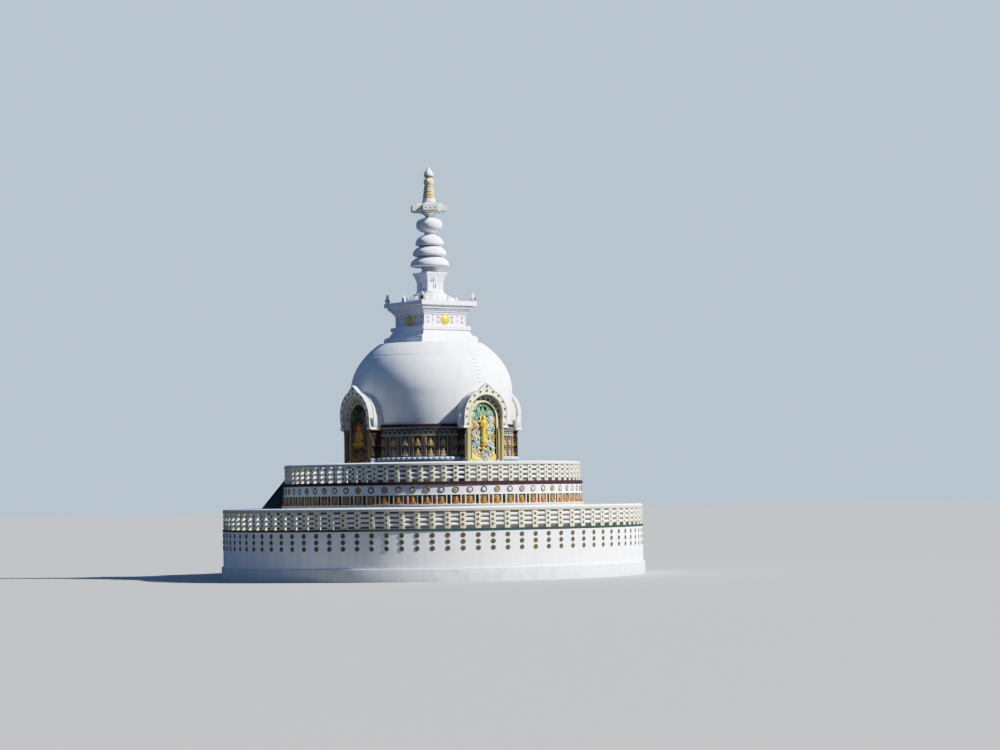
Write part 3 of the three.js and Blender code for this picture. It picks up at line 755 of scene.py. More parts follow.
standingBalls = [
    ("robe", 2, (0.105, 0, 0.66), (0.030, 0.040, 0.15), 10, 8),
    ("robe", 1, (0.112, -0.02, 0.50), (0.026, 0.035, 0.12), 8, 6),
    ("robe", 1, (-0.085, -0.07, 0.60), (0.032, 0.07, 0.030), 8, 6),
    ("skin", 2, (0.05, -0.05, 0.018), (0.032, 0.06, 0.02), 8, 6),
    ("skin", 2, (0.064, 0, 0.905), (0.008, 0.014, 0.03), 6, 4),
    ("skin", 1, (0.112, -0.03, 0.37), (0.017, 0.02, 0.045), 8, 6),
    ("skin", 1, (-0.07, -0.12, 0.64), (0.017, 0.016, 0.045), 8, 6),
    ("skin", 1, (0, 0, 0.845), (0.03, 0.03, 0.035), 8, 6),
    ("skin", 1, (0, -0.01, 0.91), (0.058, 0.058, 0.075), 16, 12),
    ("skin", 1, (0, -0.066, 0.90), (0.009, 0.012, 0.02), 6, 6),
    ("hair", 1, (0, 0.012, 0.935), (0.063, 0.058, 0.065), 16, 10),
    ("hair", 1, (0, 0.008, 1.0), (0.028, 0.028, 0.028), 10, 6)]
gown = [(0.085, 0.03), (0.112, 0.035), (0.105, 0.12), (0.092, 0.30), (0.086, 0.44), (0.082, 0.55),
        (0.090, 0.64), (0.104, 0.72), (0.106, 0.77), (0.085, 0.815), (0.045, 0.84)]


def addBalls(shapes, balls, foot, tall, mirror):
    for part, count, centre, size, across, down in balls:
        for side in ((1, 1, 1), mirror)[:count]:
            spot = [f + c * s * tall for f, c, s in zip(foot, centre, side)]
            addBall(shapes[part], spot, [s * tall for s in size], across, down)


def seatedFigure(x, z, tall, seat=0.06):
    # a calm seated figure facing +X
    shapes = {part: bmesh.new() for part in ("robes", "skin", "hair", "seats")}
    addBalls(shapes, seatedBalls, (x, 0, z + seat * tall), tall, (1, -1, 1))
    lotus = shapes["seats"]
    addTurned(lotus, [(0.30 * tall, z), (0.38 * tall, z + 0.03 * tall), (0.33 * tall, z + seat * tall)], 16)
    for point in lotus.verts:
        point.co.x = x + point.co.x * 0.5
    return shapes


def standingFigure(foot, tall, y):
    # a calm standing figure facing -Y
    shapes = {part: bmesh.new() for part in ("robe", "skin", "hair")}
    body = bmesh.new()
    addTurned(body, [(r * tall, u * tall) for r, u in gown], 24)
    for point in body.verts:
        fold = 1 + 0.05 * math.sin(7 * math.atan2(point.co.y, point.co.x)) * (1 - point.co.z / tall)
        point.co = Vector((point.co.x * fold, point.co.y * fold * 0.75, point.co.z))
    joinInto(shapes["robe"], body, moved(0, y, foot))
    addBalls(shapes, standingBalls, (0, y, foot), tall, (-1, 1, 1))
    return shapes


def glory(x, z, tall, radius, thick):
    # a round glow behind a figure, with a raised rim
    shape = bmesh.new()
    addDisc(shape, (x, 0, z), radius * tall, thick,
            [(1.0, -0.5), (1.0, 0.7), (0.9, 1.0), (0.84, 0.5), (0.4, 0.5), (0.1, 0.6)], 22)
    return shape


# niches and medallions on the second drum

nicheRing = {"perTurn": 68, "shown": 57}
niches = {"tall": 0.50, "panelWide": 0.56, "slotWide": 0.20, "frameWide": 0.085,
          "finishes": {"robes": "robeOrange", "skin": "skinGold", "hair": "hairBlue", "seats": "umber"},
          "glories": [("umber", "limeGreen"), ("nicheOlive", "leafGreen")],
          "backs": ["umber", "nicheOlive", "greyBrown", "maroon", "nicheOlive"]}
medallions = {"radius": 0.22, "centre": 0.12, "level": 5.80, "thick": 0.045,
              "ring": [(1.0, -0.3), (1.0, 0.5), (0.90, 0.95), (0.68, 1.0), (0.52, 0.3)],
              "heart": [(1.0, 0.0), (0.9, 0.5), (0.5, 0.55), (0.3, 0.8)],
              "paints": [("greyBrown", "petalWhite"), ("ringBrown", "dullGold"), ("greyBrown", "petalWhite"),
                         ("ringBrown", "dustyRose"), ("roseBrown", "petalWhite")]}


def everyNiche(turn, period):
    # copies at every so many niches, from the one that turn names
    step, shown = 360 / nicheRing["perTurn"], nicheRing["shown"]
    first = -90 - step * (shown - 1) / 2
    return (shown - int(turn) + period - 1) // period, first + turn * step, period * step


def buildNiches(tall, panelWide, slotWide, frameWide, finishes, glories, backs):
    radius, low, high = edges("niche_band")
    ground = low + 0.015
    inner = radius - 0.02

    def around(name, shape, finish, turn=0, period=1, edge=32):
        placePiece("niche_" + name, shape, finish, edge=edge, copies=everyNiche(turn, period))

    for name, shape in seatedFigure(radius + 0.03, ground, tall).items():
        around(name, shape, finishes[name], edge=60)
    for turn, (body, head) in enumerate(glories):
        around("glory_" + body, glory(radius + 0.004, ground + 0.40 * tall, tall, 0.46, 0.012), body, turn, 2)
        around("crown_" + head, glory(radius + 0.014, ground + 0.80 * tall, tall, 0.24, 0.012), head, turn, 2)
    half = panelWide / 2
    for turn, finish in enumerate(backs):
        back = bmesh.new()
        addBlock(back, (inner, -half, low + 0.02), (radius + 0.006, half, high - 0.01))
        around("back_" + finish, back, finish, turn, len(backs))
    frames = bmesh.new()
    addPair(frames, (inner, half, low), (radius + 0.06, half + frameWide, high), 0.008, 1)
    addBlock(frames, (inner, -half, low), (radius + 0.05, half, low + 0.03), 0.006)
    around("frames", frames, "rimPaint")
    for turn, finish in [(0.5, "soot"), (1.5, "maroon")]:
        slots = bmesh.new()
        addBlock(slots, (inner, -slotWide / 2, low - 0.07), (radius + 0.075, slotWide / 2, high), 0.01)
        around("slots_" + finish, slots, finish, turn, 2)


def buildMedallions(radius, centre, level, thick, ring, heart, paints):
    wall = edges("medallion_band")[0]
    for k, pair in enumerate(paints):
        for part, size, profile, finish in zip(("ring", "heart"), (radius, centre), (ring, heart), pair):
            shape = bmesh.new()
            addDisc(shape, (wall, 0, level), size, thick, profile)
            placePiece(f"medallion_{part}_{k + 1}", shape, finish,
                       copies=everyNiche(k, len(paints)))


buildNiches(**niches)
buildMedallions(**medallions)
print("niches and medallions made")


# painted upper drum, with figures in two rows, and its rings of petals

frieze = {"columns": 7, "step": 8.9, "rows": (8.03, 8.71), "tall": 0.52, "panelWide": 0.50, "postWide": 0.17,
          "stripWide": 0.055}
ledge = {"count": 100, "wide": 0.31, "tall": 0.18, "deep": 0.07}
eaves = {"count": 96, "wide": 0.30, "tall": 0.19, "deep": 0.06}


def buildFrieze(columns, step, rows, tall, panelWide, postWide, stripWide):
    radius, low, high = edges("frieze_drum")
    first = -45 - step * (columns - 1) / 2
    inner, half = radius - 0.02, panelWide / 2

    def around(name, shape, finish, turn=0, period=1, levels=2, edge=32):
        # every so many columns on each of the four sides, from the one that turn names
        count = int(columns - turn + period - 0.5) // period
        placePiece("frieze_" + name, shape, finish, edge=edge,
                   copies=(count, first + turn * step, period * step, 4, 90, levels, rows[1] - rows[0]))

    for turn, finish in enumerate(["figureGold", "figureYellow", "figureCream"]):
        parts = seatedFigure(radius + 0.045, rows[0], tall)
        around("robes_" + finish, parts["robes"], finish, turn, 3, edge=60)
        around(f"skin_{turn + 1}", parts["skin"], "figureSkin", turn, 3, edge=60)
        around(f"hair_{turn + 1}", parts["hair"], "hairBlue", turn, 3, edge=60)
    around("seats", parts["seats"], "figureCream", edge=60)
    backs, posts, strips = (bmesh.new() for _ in range(3))
    addBlock(backs, (inner, -half, rows[0] - 0.04), (radius + 0.02, half, rows[0] + tall + 0.06), 0.006)
    around("backs", backs, "duskGreen")
    for turn, finish in enumerate(["leafGreen", "greyBrown"]):
        glow = glory(radius + 0.02, rows[0] + 0.42 * tall, tall, 0.40, 0.014)
        around("glories_" + finish, glow, finish, turn, 2)
    around("crowns", glory(radius + 0.032, rows[0] + 0.82 * tall, tall, 0.23, 0.012), "tealTrim")
    addBlock(posts, (inner, -postWide / 2, low), (radius + 0.10, postWide / 2, high - 0.06), 0.012)
    around("posts", posts, "postBrown", 0.5, levels=1)
    addPair(strips, (inner, half, low), (radius + 0.06, half + stripWide, high - 0.06), 0.006, 1)
    around("strips", strips, "paleRose", levels=1)
    placeHoops([
        ("frieze_foot", "frieze_drum", low, low + 0.05, 0.10, "blueTrim"),
        ("frieze_shelf", "frieze_drum", rows[1] - 0.11, rows[1] - 0.06, 0.085, "greyBrown"),
        ("frieze_head", "frieze_drum", high - 0.07, high, 0.10, "dustyRose")], 192)


def petalShape(wide, tall, deep, across=4, up=5):
    # one upright petal facing +X, its foot at the origin
    shape = bmesh.new()
    points = []
    for j in range(up + 1):
        t = j / up
        half = wide / 2 * math.sin(math.pi * (0.28 + 0.72 * t)) ** 0.7 if j < up else 0.004
        for i in range(across + 1):
            u = -1 + 2 * i / across
            out = math.cos(u * 1.3) * math.sin(math.pi * (0.15 + 0.75 * t))
            points.append((deep * out, u * half, tall * t))
    row = across + 1
    faces = [(a, a + 1, a + row + 1, a + row) for j in range(up) for a in range(j * row, j * row + across)]
    front = len(points)
    points += [(-0.004, y, z) for _, y, z in points]
    faces += [tuple(front + i for i in face)[::-1] for face in faces]
    rim = ([*range(row)] + [j * row + across for j in range(1, up + 1)]
           + [up * row + i for i in range(across - 1, -1, -1)] + [j * row for j in range(up - 1, 0, -1)])
    faces += [(a, front + a, front + b, b) for a, b in zip(rim, rim[1:] + rim[:1])]
    addFaces(shape, points, faces)
    return shape


def petalRing(name, finish, slot, radius, level, count, wide, tall, deep, turn=0, lean=0):
    # petals round the axis, from the part of a step that turn names
    shape = placedShape(petalShape(wide, tall, deep), moved(radius, 0, level) @ spun(-lean, "Y"))
    placePiece(name, shape, finish, edge=60, copies=(count, turn * 360 / count, 360 / count))


def buildLedgeAndEaves():
    radius, low, _ = edges("petal_ledge")
    petalRing("ledge_petals_front", "petalWhite", "blue_trim", radius - 0.025, low + 0.02, **ledge)
    petalRing("ledge_petals_back", "ledgeShade", "blue_trim", radius - 0.037, low + 0.02, **ledge, turn=0.5)
    placeHoops([("ledge_foot", "petal_ledge", low - 0.06, low + 0.02, -0.02, "blueTrim")])
    radius, low, high = edges("eaves_band")
    petalRing("eaves_petals_low", "tealTrim", "dark_trim", radius - 0.02, low + 0.05, **eaves)
    petalRing("eaves_petals_high", "blueTrim", "dark_trim", radius - 0.02, low + 0.24, **eaves, turn=0.5)
    placeHoops([("eaves_line_low", "eaves_band", low, low + 0.04, 0.08, "khakiTrim"),
                             ("eaves_line_mid", "eaves_band", low + 0.23, low + 0.25, 0.07, "khakiTrim"),
                             ("eaves_line_high", "eaves_band", high - 0.08, high, 0.08, "dustyRose")], 192)


buildFrieze(**frieze)
buildLedgeAndEaves()
print("upper drum made")


# dome

# an upper half and a longer lower half, of which only the top shows
domeCurve = {"radius": 5.49, "half": 4.3, "centre": 12.4, "stretch": 1.9}
dome = {"steps": 200, "rings": 72, "seam": 14.8, "seamWide": 0.035, "seamDeep": 0.022,
        "foot": [(5.02, 0), (5.18, 0.001)]}
rungs = {"count": 9, "first": 12.98, "gap": 0.25, "angle": -88.2, "half": 0.19}


def domeRadius(z):
    centre = domeCurve["centre"]
    reach = (z - centre) / domeCurve["half"] / (1 if z > centre else domeCurve["stretch"])
    return domeCurve["radius"] * math.sqrt(max(0.0, 1 - reach * reach))


def buildDome(steps, rings, seam, seamWide, seamDeep, foot):
    low, high = (corner.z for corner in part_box("dome"))
    half, centre, stretch = (domeCurve[key] for key in ("half", "centre", "stretch"))
    start, end = math.asin((low - centre) / half / stretch), math.asin((high - centre) / half)
    levels = [seam + shift for shift in (-seamWide, -0.012, 0.012, seamWide)]
    for i in range(rings + 1):
        angle = start + (end - start) * i / rings
        levels.append(centre + (stretch if angle < 0 else 1) * half * math.sin(angle))
    profile = [(r, low + up) for r, up in foot]
    profile += [(domeRadius(z) - (seamDeep if abs(z - seam) < 0.02 else 0), z) for z in sorted(levels)]
    shape = bmesh.new()
    addTurned(shape, profile, steps)
    for point in shape.verts:
        # gentle unevenness, away from the foot and the top
        if low + 0.1 < point.co.z < high - 0.05:
            wave = noise.noise(point.co * 0.55) * 0.010 + noise.noise(point.co * 1.7) * 0.004
            point.co.x *= 1 + (wave - 0.006) / 5
            point.co.y *= 1 + (wave - 0.006) / 5
    placePiece("dome_plaster", shape, "domePlaster", ["dome"])


def buildRungs(count, first, gap, angle, half):
    shape = bmesh.new()
    for i in range(count):
        z = first + i * gap
        r = domeRadius(z)
        addPair(shape, (r - 0.05, half - 0.010, z - 0.010), (r + 0.06, half + 0.010, z + 0.010), 0.003, 1)
        addBlock(shape, (r + 0.045, -half, z - 0.011), (r + 0.067, half, z + 0.011), 0.004)
    placePiece("dome_rungs", shape, "whitewash", copies=(1, angle, 0))


buildDome(**dome)
buildRungs(**rungs)
print("dome made")


# porches, modelled on the -Y side and copied to the other three

sides = ["front", "right", "rear", "left"]
porch = {"half": 1.55, "front": 6.05, "back": 5.0, "ledge": 9.85, "spring": 10.70, "vault": 1.67,
         "sill": 7.45, "inner": 1.35, "outer": 1.75, "tip": 12.8, "lean": 20.5, "archSpring": 10.52,
         "archInner": 1.03, "archOuter": 1.15, "face": 5.96, "inside": 5.84, "panel": 5.88, "jamb": 1.06,
         "trim": 9.46, "pier": 1.24, "groove": 1.13}
hood = {"front": 6.42, "back": 6.17, "tip": 0.0714, "disc": 0.105, "thick": 0.025, "ring": 1.6,
        "step": 18.75, "top": (0, 12.58), "innerDisc": 0.085, "innerRing": 1.27, "innerStep": 17.5,
        "horn": [(1.62, 9.97), (1.80, 9.97), (1.89, 10.08), (1.95, 10.38), (1.96, 10.80), (1.86, 10.62),
                 (1.78, 10.40), (1.71, 10.25), (1.62, 10.20)]}
column = {"x": 1.40, "profile": [(0.16, 7.45), (0.165, 7.53), (0.135, 7.59), (0.13, 8.6), (0.13, 9.55),
                                 (0.15, 9.60), (0.14, 9.65), (0.155, 9.74), (0.165, 9.85)]}
porchFigures = {"rows": (8.03, 8.71), "places": (5.47, 5.87), "tall": 0.44, "strips": (5.67, 6.03),
                "low": 7.98, "high": 9.42, "glow": [(1.0, -0.5), (1.0, 0.7), (0.85, 1.0), (0.2, 0.8)]}


def archLine(radius, foot, spring, steps=48):
    turns = [math.pi * i / steps for i in range(steps + 1)]
    return ([(radius, foot)] + [(radius * math.cos(t), spring + radius * math.sin(t)) for t in turns]
            + [(-radius, foot)])


def hoodLine(inset, foot, steps=48):
    # round at the sides and drawn up to a point in the middle
    outer, spring = porch["outer"] - inset, porch["spring"]
    line = []
    for i in range(steps + 1):
        angle = math.pi * i / steps
        lean = max(0.0, 1 - abs(math.degrees(angle) - 90) / porch["lean"])
        reach = outer + (porch["tip"] - spring - porch["outer"]) * lean ** 1.15
        line.append((reach * math.cos(angle), spring + reach * math.sin(angle)))
    return [(outer, foot)] + line + [(-outer, foot)]


def tipped(shape):
    # the hood tips forward about its point, so its feet stand further back
    for point in shape.verts:
        point.co.y += (porch["tip"] - point.co.z) * hood["tip"]
    return shape


def onFourSides(name, shape, finish, nodes=(), edge=32):
    placePiece(name, shape, finish, nodes, edge, (4, 0, 90))


def onTwoSides(name, shape, finish, first, edge=60):
    # from the front side, turned by the first angle and half a turn on
    placePiece(name, shape, finish, (), edge, (2, first, 180))


def buildPorchWalls(half, front, back, sill, head, jamb):
    floor = edges("upper_terrace")[2]
    beltLow, beltHigh = edges("petal_ledge")[1:]
    trim, pier = porch["trim"], porch["pier"]
    shapes = defaultdict(bmesh.new)
    addBlock(shapes["bases"], (-half, front, floor), (half, back, sill), 0.015)
    addPair(shapes["bases"], (jamb, front, sill - 0.02), (half, back, beltLow), 0.01)
    # a dark band on the porch base, seen through the railing: a dado, and painted shade
    addBlock(shapes["dados_and_shade"], (-half - 0.01, front - 0.01, floor), (half + 0.01, back, sill - 0.02))
    # the side walls are near black: partly their own dark colour, partly painted shade
    addPair(shapes["walls"], (jamb, front, beltLow), (half, back, head))
    addPair(shapes["belts"], (half - 0.1, front - 0.03, beltLow), (half + 0.06, back, beltHigh - 0.02), 0.02)
    addPair(shapes["trims"], (half - 0.1, front + 0.04, trim), (half + 0.06, back, head - 0.05), 0.02)
    addPair(shapes["columns"], (pier, front - 0.04, sill), (half + 0.01, front + 0.06, head), 0.02)
    for side in (-1, 1):
        addTurned(shapes["columns"], column["profile"], 20, (side * column["x"], front))
    addPair(shapes["grooves"], (porch["groove"], front - 0.01, sill), (pier + 0.01, front + 0.05, head))
    nodes = {"bases": [side + "_porch" for side in sides]}
    for name, finish, slot in [("bases", "whitewash", "cream_paint"), ("dados_and_shade", "dadoOliveAndShade", "dark_trim"),
                               ("walls", "darkTrim", "cream_paint"), ("belts", "ledgeShade", "blue_trim"),
                               ("trims", "darkTrim", "dark_trim"), ("columns", "columnGold", "cream_paint"),
                               ("grooves", "columnGold", "cream_paint")]:
        onFourSides("porch_" + name, shapes[name], finish, nodes.get(name, ()))


def buildPorchSides(rows, places, tall, strips, low, high, glow):
    # two narrow columns of figures on each side wall, in dark paints: partly their own colour, partly painted
    # shade on the side walls
    half = porch["half"]
    shapes = defaultdict(bmesh.new)
    for side in (-1, 1):
        for y in places:
            flip = moved(0, -y, 0) @ Matrix.Diagonal((side, 1, 1, 1))
            for z in rows:
                for name, shape in seatedFigure(half + 0.02, z, tall).items():
                    joinInto(shapes[name], shape, flip)
                disc = bmesh.new()
                addDisc(disc, (half, 0, z + 0.2), 0.17, 0.02, glow, 16)
                joinInto(shapes["glories"], disc, flip)
    for y in strips:
        addPair(shapes["strips"], (half - 0.02, -y - 0.022, low), (half + 0.05, -y + 0.022, high), 0.006)
    addPair(shapes["posts"], (half - 0.02, -5.28, low), (half + 0.07, -5.22, high), 0.006)
    for name, finish, edge in [("robes", "greyBrown", 60), ("skin", "umber", 60), ("hair", "soot", 60),
                               ("seats", "nightGreen", 60), ("glories", "nightGreen", 32),
                               ("strips", "greyBrown", 32), ("posts", "maroon", 32)]:
        onFourSides("porch_side_" + name, shapes[name], finish, edge=edge)


def buildHood():
    front, back, spring, foot = -hood["front"], -hood["back"], porch["spring"], porch["ledge"] + 0.02
    inner, archSpring, face, sill = porch["inner"], porch["archSpring"], -porch["face"], porch["sill"]
    archInner, level, inside = porch["archInner"], porch["ledge"], -porch["inside"]
    shapes = defaultdict(bmesh.new)
    opening = archLine(inner, foot, spring)
    addBand(shapes["hood_faces"], opening, hoodLine(0.02, foot), front + 0.01, back)
    addBand(shapes["hood_shells"], hoodLine(0.05, foot), hoodLine(0, foot), front, back)
    addBand(shapes["hood_rims"], hoodLine(0.07, foot), hoodLine(0.005, foot), front - 0.02, front + 0.05)
    addBand(shapes["hood_lips"], opening, archLine(inner + 0.06, foot, spring), front - 0.02, front + 0.05)
    addBand(shapes["hood_soffits"], archLine(archInner + 0.05, foot - 0.1, archSpring),
            archLine(inner + 0.2, foot - 0.1, spring), face, inside)
    addPlate(shapes["porch_vaults"], archLine(porch["vault"], level, spring), inside - 0.01, -4.7)
    addBand(shapes["porch_vaults"], archLine(inner + 0.06, foot, spring),
            archLine(inner + 0.26, foot, spring), back, inside)
    addBand(shapes["porch_arches"], archLine(archInner, sill, archSpring),
            archLine(porch["archOuter"], sill, archSpring), face - 0.06, inside)
    addPair(shapes["porch_ledges"], (inner + 0.01, -6.25, level), (1.82, -5.78, 9.99), 0.025)
    addPair(shapes["porch_ledge_lines"], (1.30, -6.14, level - 0.05), (1.80, -5.15, level + 0.01), 0.01)
    for side in (-1, 1):
        horn = [(side * x, z) for x, z in hood["horn"]]
        addPlate(shapes["hood_horns"], horn, back - 0.03, back + 0.22, 0.02)
    # discs round the hood's face and its inner arch
    ring, thick = hood["ring"], hood["thick"]
    centres = [(ring * math.cos(t), spring + ring * math.sin(t))
               for t in [math.radians(90 + hood["step"] * k) for k in range(-6, 7)]]
    for x, z in centres + [hood["top"]]:
        for part, profile in (("rims", discRim), ("bosses", discBoss)):
            addDisc(shapes["hood_disc_" + part], (x, front + 0.01, z), hood["disc"], thick, profile, 14,
                    forward)
    for k in range(-5, 6):
        t = math.radians(90 + hood["innerStep"] * k)
        centre = (hood["innerRing"] * math.cos(t), face, archSpring + hood["innerRing"] * math.sin(t))
        for profile in (discRim, discBoss):
            addDisc(shapes["arch_discs"], centre, hood["innerDisc"], 0.03, profile, 12, forward)
    for name, finish, leans in [
            ("hood_faces", "shellWhite", True), ("hood_shells", "vaultPlasterAndShade", True),
            ("hood_rims", "shellWhite", True), ("hood_lips", "paleYellow", True),
            ("hood_soffits", "vaultPlasterAndShade", False), ("porch_vaults", "vaultPlasterAndShade", False),
            ("porch_arches", "paleYellow", False), ("porch_ledges", "whitewash", False),
            ("porch_ledge_lines", "umber", False), ("hood_horns", "whitewash", True),
            ("hood_disc_rims", "rimPaint", True), ("hood_disc_bosses", "oliveGold", True),
            ("arch_discs", "oliveGold", False)]:
        shape = tipped(shapes[name]) if leans else shapes[name]
        onFourSides(name, shape, finish, edge=50 if name == "hood_horns" else 32)


def addFlower(shape, x, y, z, reach, petals=6):
    for k in range(petals):
        turn = 2 * math.pi * k / petals
        addBall(shape, (x + 0.62 * reach * math.cos(turn), y, z + 0.62 * reach * math.sin(turn)),
                (0.42 * reach, 0.035, 0.22 * reach), 8, 5, Matrix.Rotation(-turn, 4, "Y"))
    addBall(shape, (x, y - 0.02, z), (0.25 * reach, 0.04, 0.25 * reach), 8, 5)


def addScroll(shape, x, y, z, reach, way, turns=1.5, steps=18):
    # a curl of a thin round strand that lies on the panel
    points = []
    for i in range(steps + 1):
        t = i / steps
        angle = way * (math.pi / 2 + turns * 2 * math.pi * t)
        far = reach * (1 - 0.78 * t)
        thick = 0.022 + 0.012 * (1 - t)
        side = Vector((math.cos(angle), 0, math.sin(angle)))
        points += [side * (far + thick * math.cos(a)) + Vector((x, y - thick * math.sin(a), z))
                   for a in (0, math.pi / 3, 2 * math.pi / 3, math.pi, 1.5 * math.pi)]
    faces = [(5 * i + k, 5 * i + (k + 1) % 5, 5 * i + 5 + (k + 1) % 5, 5 * i + 5 + k)
             for i in range(steps) for k in range(5)]
    addFaces(shape, points, faces + [(0, 1, 2, 3, 4), tuple(5 * steps + k for k in (4, 3, 2, 1, 0))])


relief = {
    "leaves": 210, "seed": 11, "foot": 8.86, "tall": 1.80,
    "names": ["leafGreen", "petalWhite", "skyBlue", "sunYellow", "turquoise", "coralPaint", "nightGreen",
              "lilacPaint", "limeGreen", "paleGrey", "deepBlue"],
    "topLeaves": ["leafGreen", "turquoise", "turquoise", "limeGreen", "nightGreen", "paleGrey"],
    "lowLeaves": ["sunYellow", "sunYellow", "coralPaint", "lilacPaint", "turquoise", "petalWhite"],
    "midLeaves": ["petalWhite", "paleGrey", "lilacPaint", "nightGreen", "sunYellow", "sunYellow", "turquoise",
                  "leafGreen"],
    "scrolls": [(0.57, 10.72, 0.25, "lilacPaint"), (0.74, 10.40, 0.18, "petalWhite"),
                (-0.80, 10.72, 0.15, "petalWhite"), (-0.52, 10.62, 0.20, "turquoise"),
                (-0.64, 9.44, 0.27, "paleGrey"), (0.52, 9.88, 0.22, "petalWhite"),
                (0.80, 9.78, 0.16, "turquoise"), (-0.58, 8.17, 0.28, "coralPaint"),
                (0.02, 8.12, 0.20, "lilacPaint"), (0.74, 8.68, 0.19, "petalWhite"),
                (-0.36, 11.02, 0.16, "skyBlue"), (0.30, 8.98, 0.14, "petalWhite")],
    "flowers": [(-0.70, 10.02, 0.24, "coralPaint"), (-0.46, 9.98, 0.13, "sunYellow"),
                (0.82, 9.26, 0.18, "coralPaint"), (0.42, 9.30, 0.20, "limeGreen"),
                (-0.62, 8.84, 0.28, "skyBlue"), (0.57, 10.22, 0.13, "sunYellow"),
                (-0.36, 11.08, 0.15, "lilacPaint"), (0.70, 8.74, 0.17, "paleGrey"),
                (0.38, 8.28, 0.19, "turquoise"), (-0.62, 8.84, 0.10, "deepBlue")],
    "darks": [(-0.13, 11.14, 0.15), (0.21, 11.17, 0.16), (-0.82, 9.74, 0.11), (-0.84, 8.98, 0.10),
              (-0.42, 9.08, 0.10), (-0.22, 8.38, 0.13), (-0.52, 8.56, 0.10), (0.27, 9.56, 0.10),
              (0.28, 8.64, 0.11), (0.60, 8.46, 0.13), (0.36, 9.12, 0.09), (-0.30, 10.50, 0.10)],
    "glow": [(1, -0.5), (1, 0.7), (0.9, 1), (0.8, 0.6), (0.1, 0.7)],
    "seat": [(0.17, -0.21), (0.23, -0.18), (0.19, -0.13), (0.17, -0.10), (0.24, -0.05), (0.25, -0.02),
             (0.21, 0.02)]}


def scatterLeaves(shapes, level, spring):
    # leaves all over the panel, but for the middle, with a choice of paints for each height
    scatter = random.Random(relief["seed"])
    placed = 0
    while placed < relief["leaves"]:
        x, z = scatter.uniform(-0.97, 0.97), scatter.uniform(7.55, 11.45)
        within = abs(x) < 0.96 and (z < spring or math.hypot(x, z - spring) < 0.93)
        if not within or (abs(x) < 0.20 and 8.6 < z < 10.7):
            continue
        name = scatter.choice(relief["topLeaves" if z > 10.6 else "lowLeaves" if z < 8.3 else "midLeaves"])
        long = scatter.uniform(0.06, 0.13)
        addBall(shapes[name], (x, level, z), (long * 0.42, scatter.uniform(0.03, 0.06), long), 8, 5,
                Matrix.Rotation(scatter.uniform(0, math.pi), 4, "Y"))
        placed += 1


def buildRelief():
    level, spring, reach = -porch["panel"], porch["archSpring"], porch["archInner"]
    panel = bmesh.new()
    addPlate(panel, archLine(reach + 0.03, porch["sill"], spring), level, level + 0.08)
    onFourSides("relief_panels", panel, "reliefGround", [side + "_relief" for side in sides])

    shapes = defaultdict(bmesh.new)
    scatterLeaves(shapes, level, spring)
    for x, z, size, name in relief["scrolls"]:
        addScroll(shapes[name], x, level - 0.03, z, size, 1 if x > 0 else -1)
    for x, z, size, name in relief["flowers"]:
        addFlower(shapes[name], x, level - 0.03, z, size)
    for k, (x, z, size) in enumerate(relief["darks"]):
        addBall(shapes["nightGreen"], (x, level - 0.03, z), (0.5 * size, 0.04, size), 8, 6,
                spun(-40 if k % 2 else 40, "Y"))
    for side, near, count in ((-1, 0.22, 7), (1, 0.42, 6)):
        for k in range(count):
            addBall(shapes["sunYellow"], (side * (near + 0.11 * k), level - 0.02, 7.62 + 0.05 * k),
                    (0.12, 0.07, 0.17 + 0.02 * k), 10, 6)
    addBlock(shapes["coralPaint"], (0.93, level - 0.06, 10.0), (1.02, level + 0.02, 10.62), 0.02)
    # painted shadow: a dark strip down the panel's right edge, where the right reveal shades it
    addBlock(shapes["nightGreen"], (0.95, level - 0.05, 7.9), (1.03, level + 0.02, 9.98), 0.02)
    for name in relief["names"]:
        onFourSides("relief_" + name, shapes[name], name, edge=60)


def buildReliefFigures(foot, tall):
    level = -porch["panel"]
    glow, lotus = bmesh.new(), bmesh.new()
    addDisc(glow, (0, level - 0.01, foot + 0.89 * tall), 0.26, 0.03, relief["glow"], 24, forward)
    onTwoSides("relief_glows", glow, "sunYellow", 0, 32)
    addTurned(lotus, [(r, foot + up) for r, up in relief["seat"]], 20)
    for point in lotus.verts:
        point.co.y = level - 0.02 + point.co.y * 0.6
    for k in range(-2, 3):
        addBall(lotus, (0.09 * k, level - 0.15 + 0.02 * k * k, foot - 0.10), (0.05, 0.03, 0.07), 8, 6)
    addBlock(lotus, (-0.11, level - 0.07, foot - 0.46), (0.11, level, foot - 0.23), 0.03)
    onTwoSides("relief_seats", lotus, "robeGold", 0)
    for name, shape in standingFigure(foot, tall, level - 0.06).items():
        onTwoSides("relief_figure_" + name, shape, "hairBlue" if name == "hair" else "goldLeaf", 0)
    # the left and right porches have a broad seated figure instead
    low, high = foot - 0.20, 0.9 * tall
    shapes = seatedFigure(0, low, high)
    shapes["glows"] = glory(0, low + 0.82 * high, high, 0.19, 0.04)
    inFront = moved(0, level - 0.05, 0) @ spun(-90) @ Matrix.Diagonal((0.5, 1, 1, 1))
    finishes = {"hair": "umber", "seats": "robeGold", "glows": "sunYellow"}
    for name, shape in shapes.items():
        onTwoSides("relief_seated_" + name, placedShape(shape, inFront), finishes.get(name, "goldLeaf"), 90)


buildPorchWalls(porch["half"], -porch["front"], -porch["back"], porch["sill"], porch["ledge"], porch["jamb"])
buildPorchSides(**porchFigures)
buildHood()
buildRelief()
buildReliefFigures(relief["foot"], relief["tall"])
print("porches made")


# square block on the dome

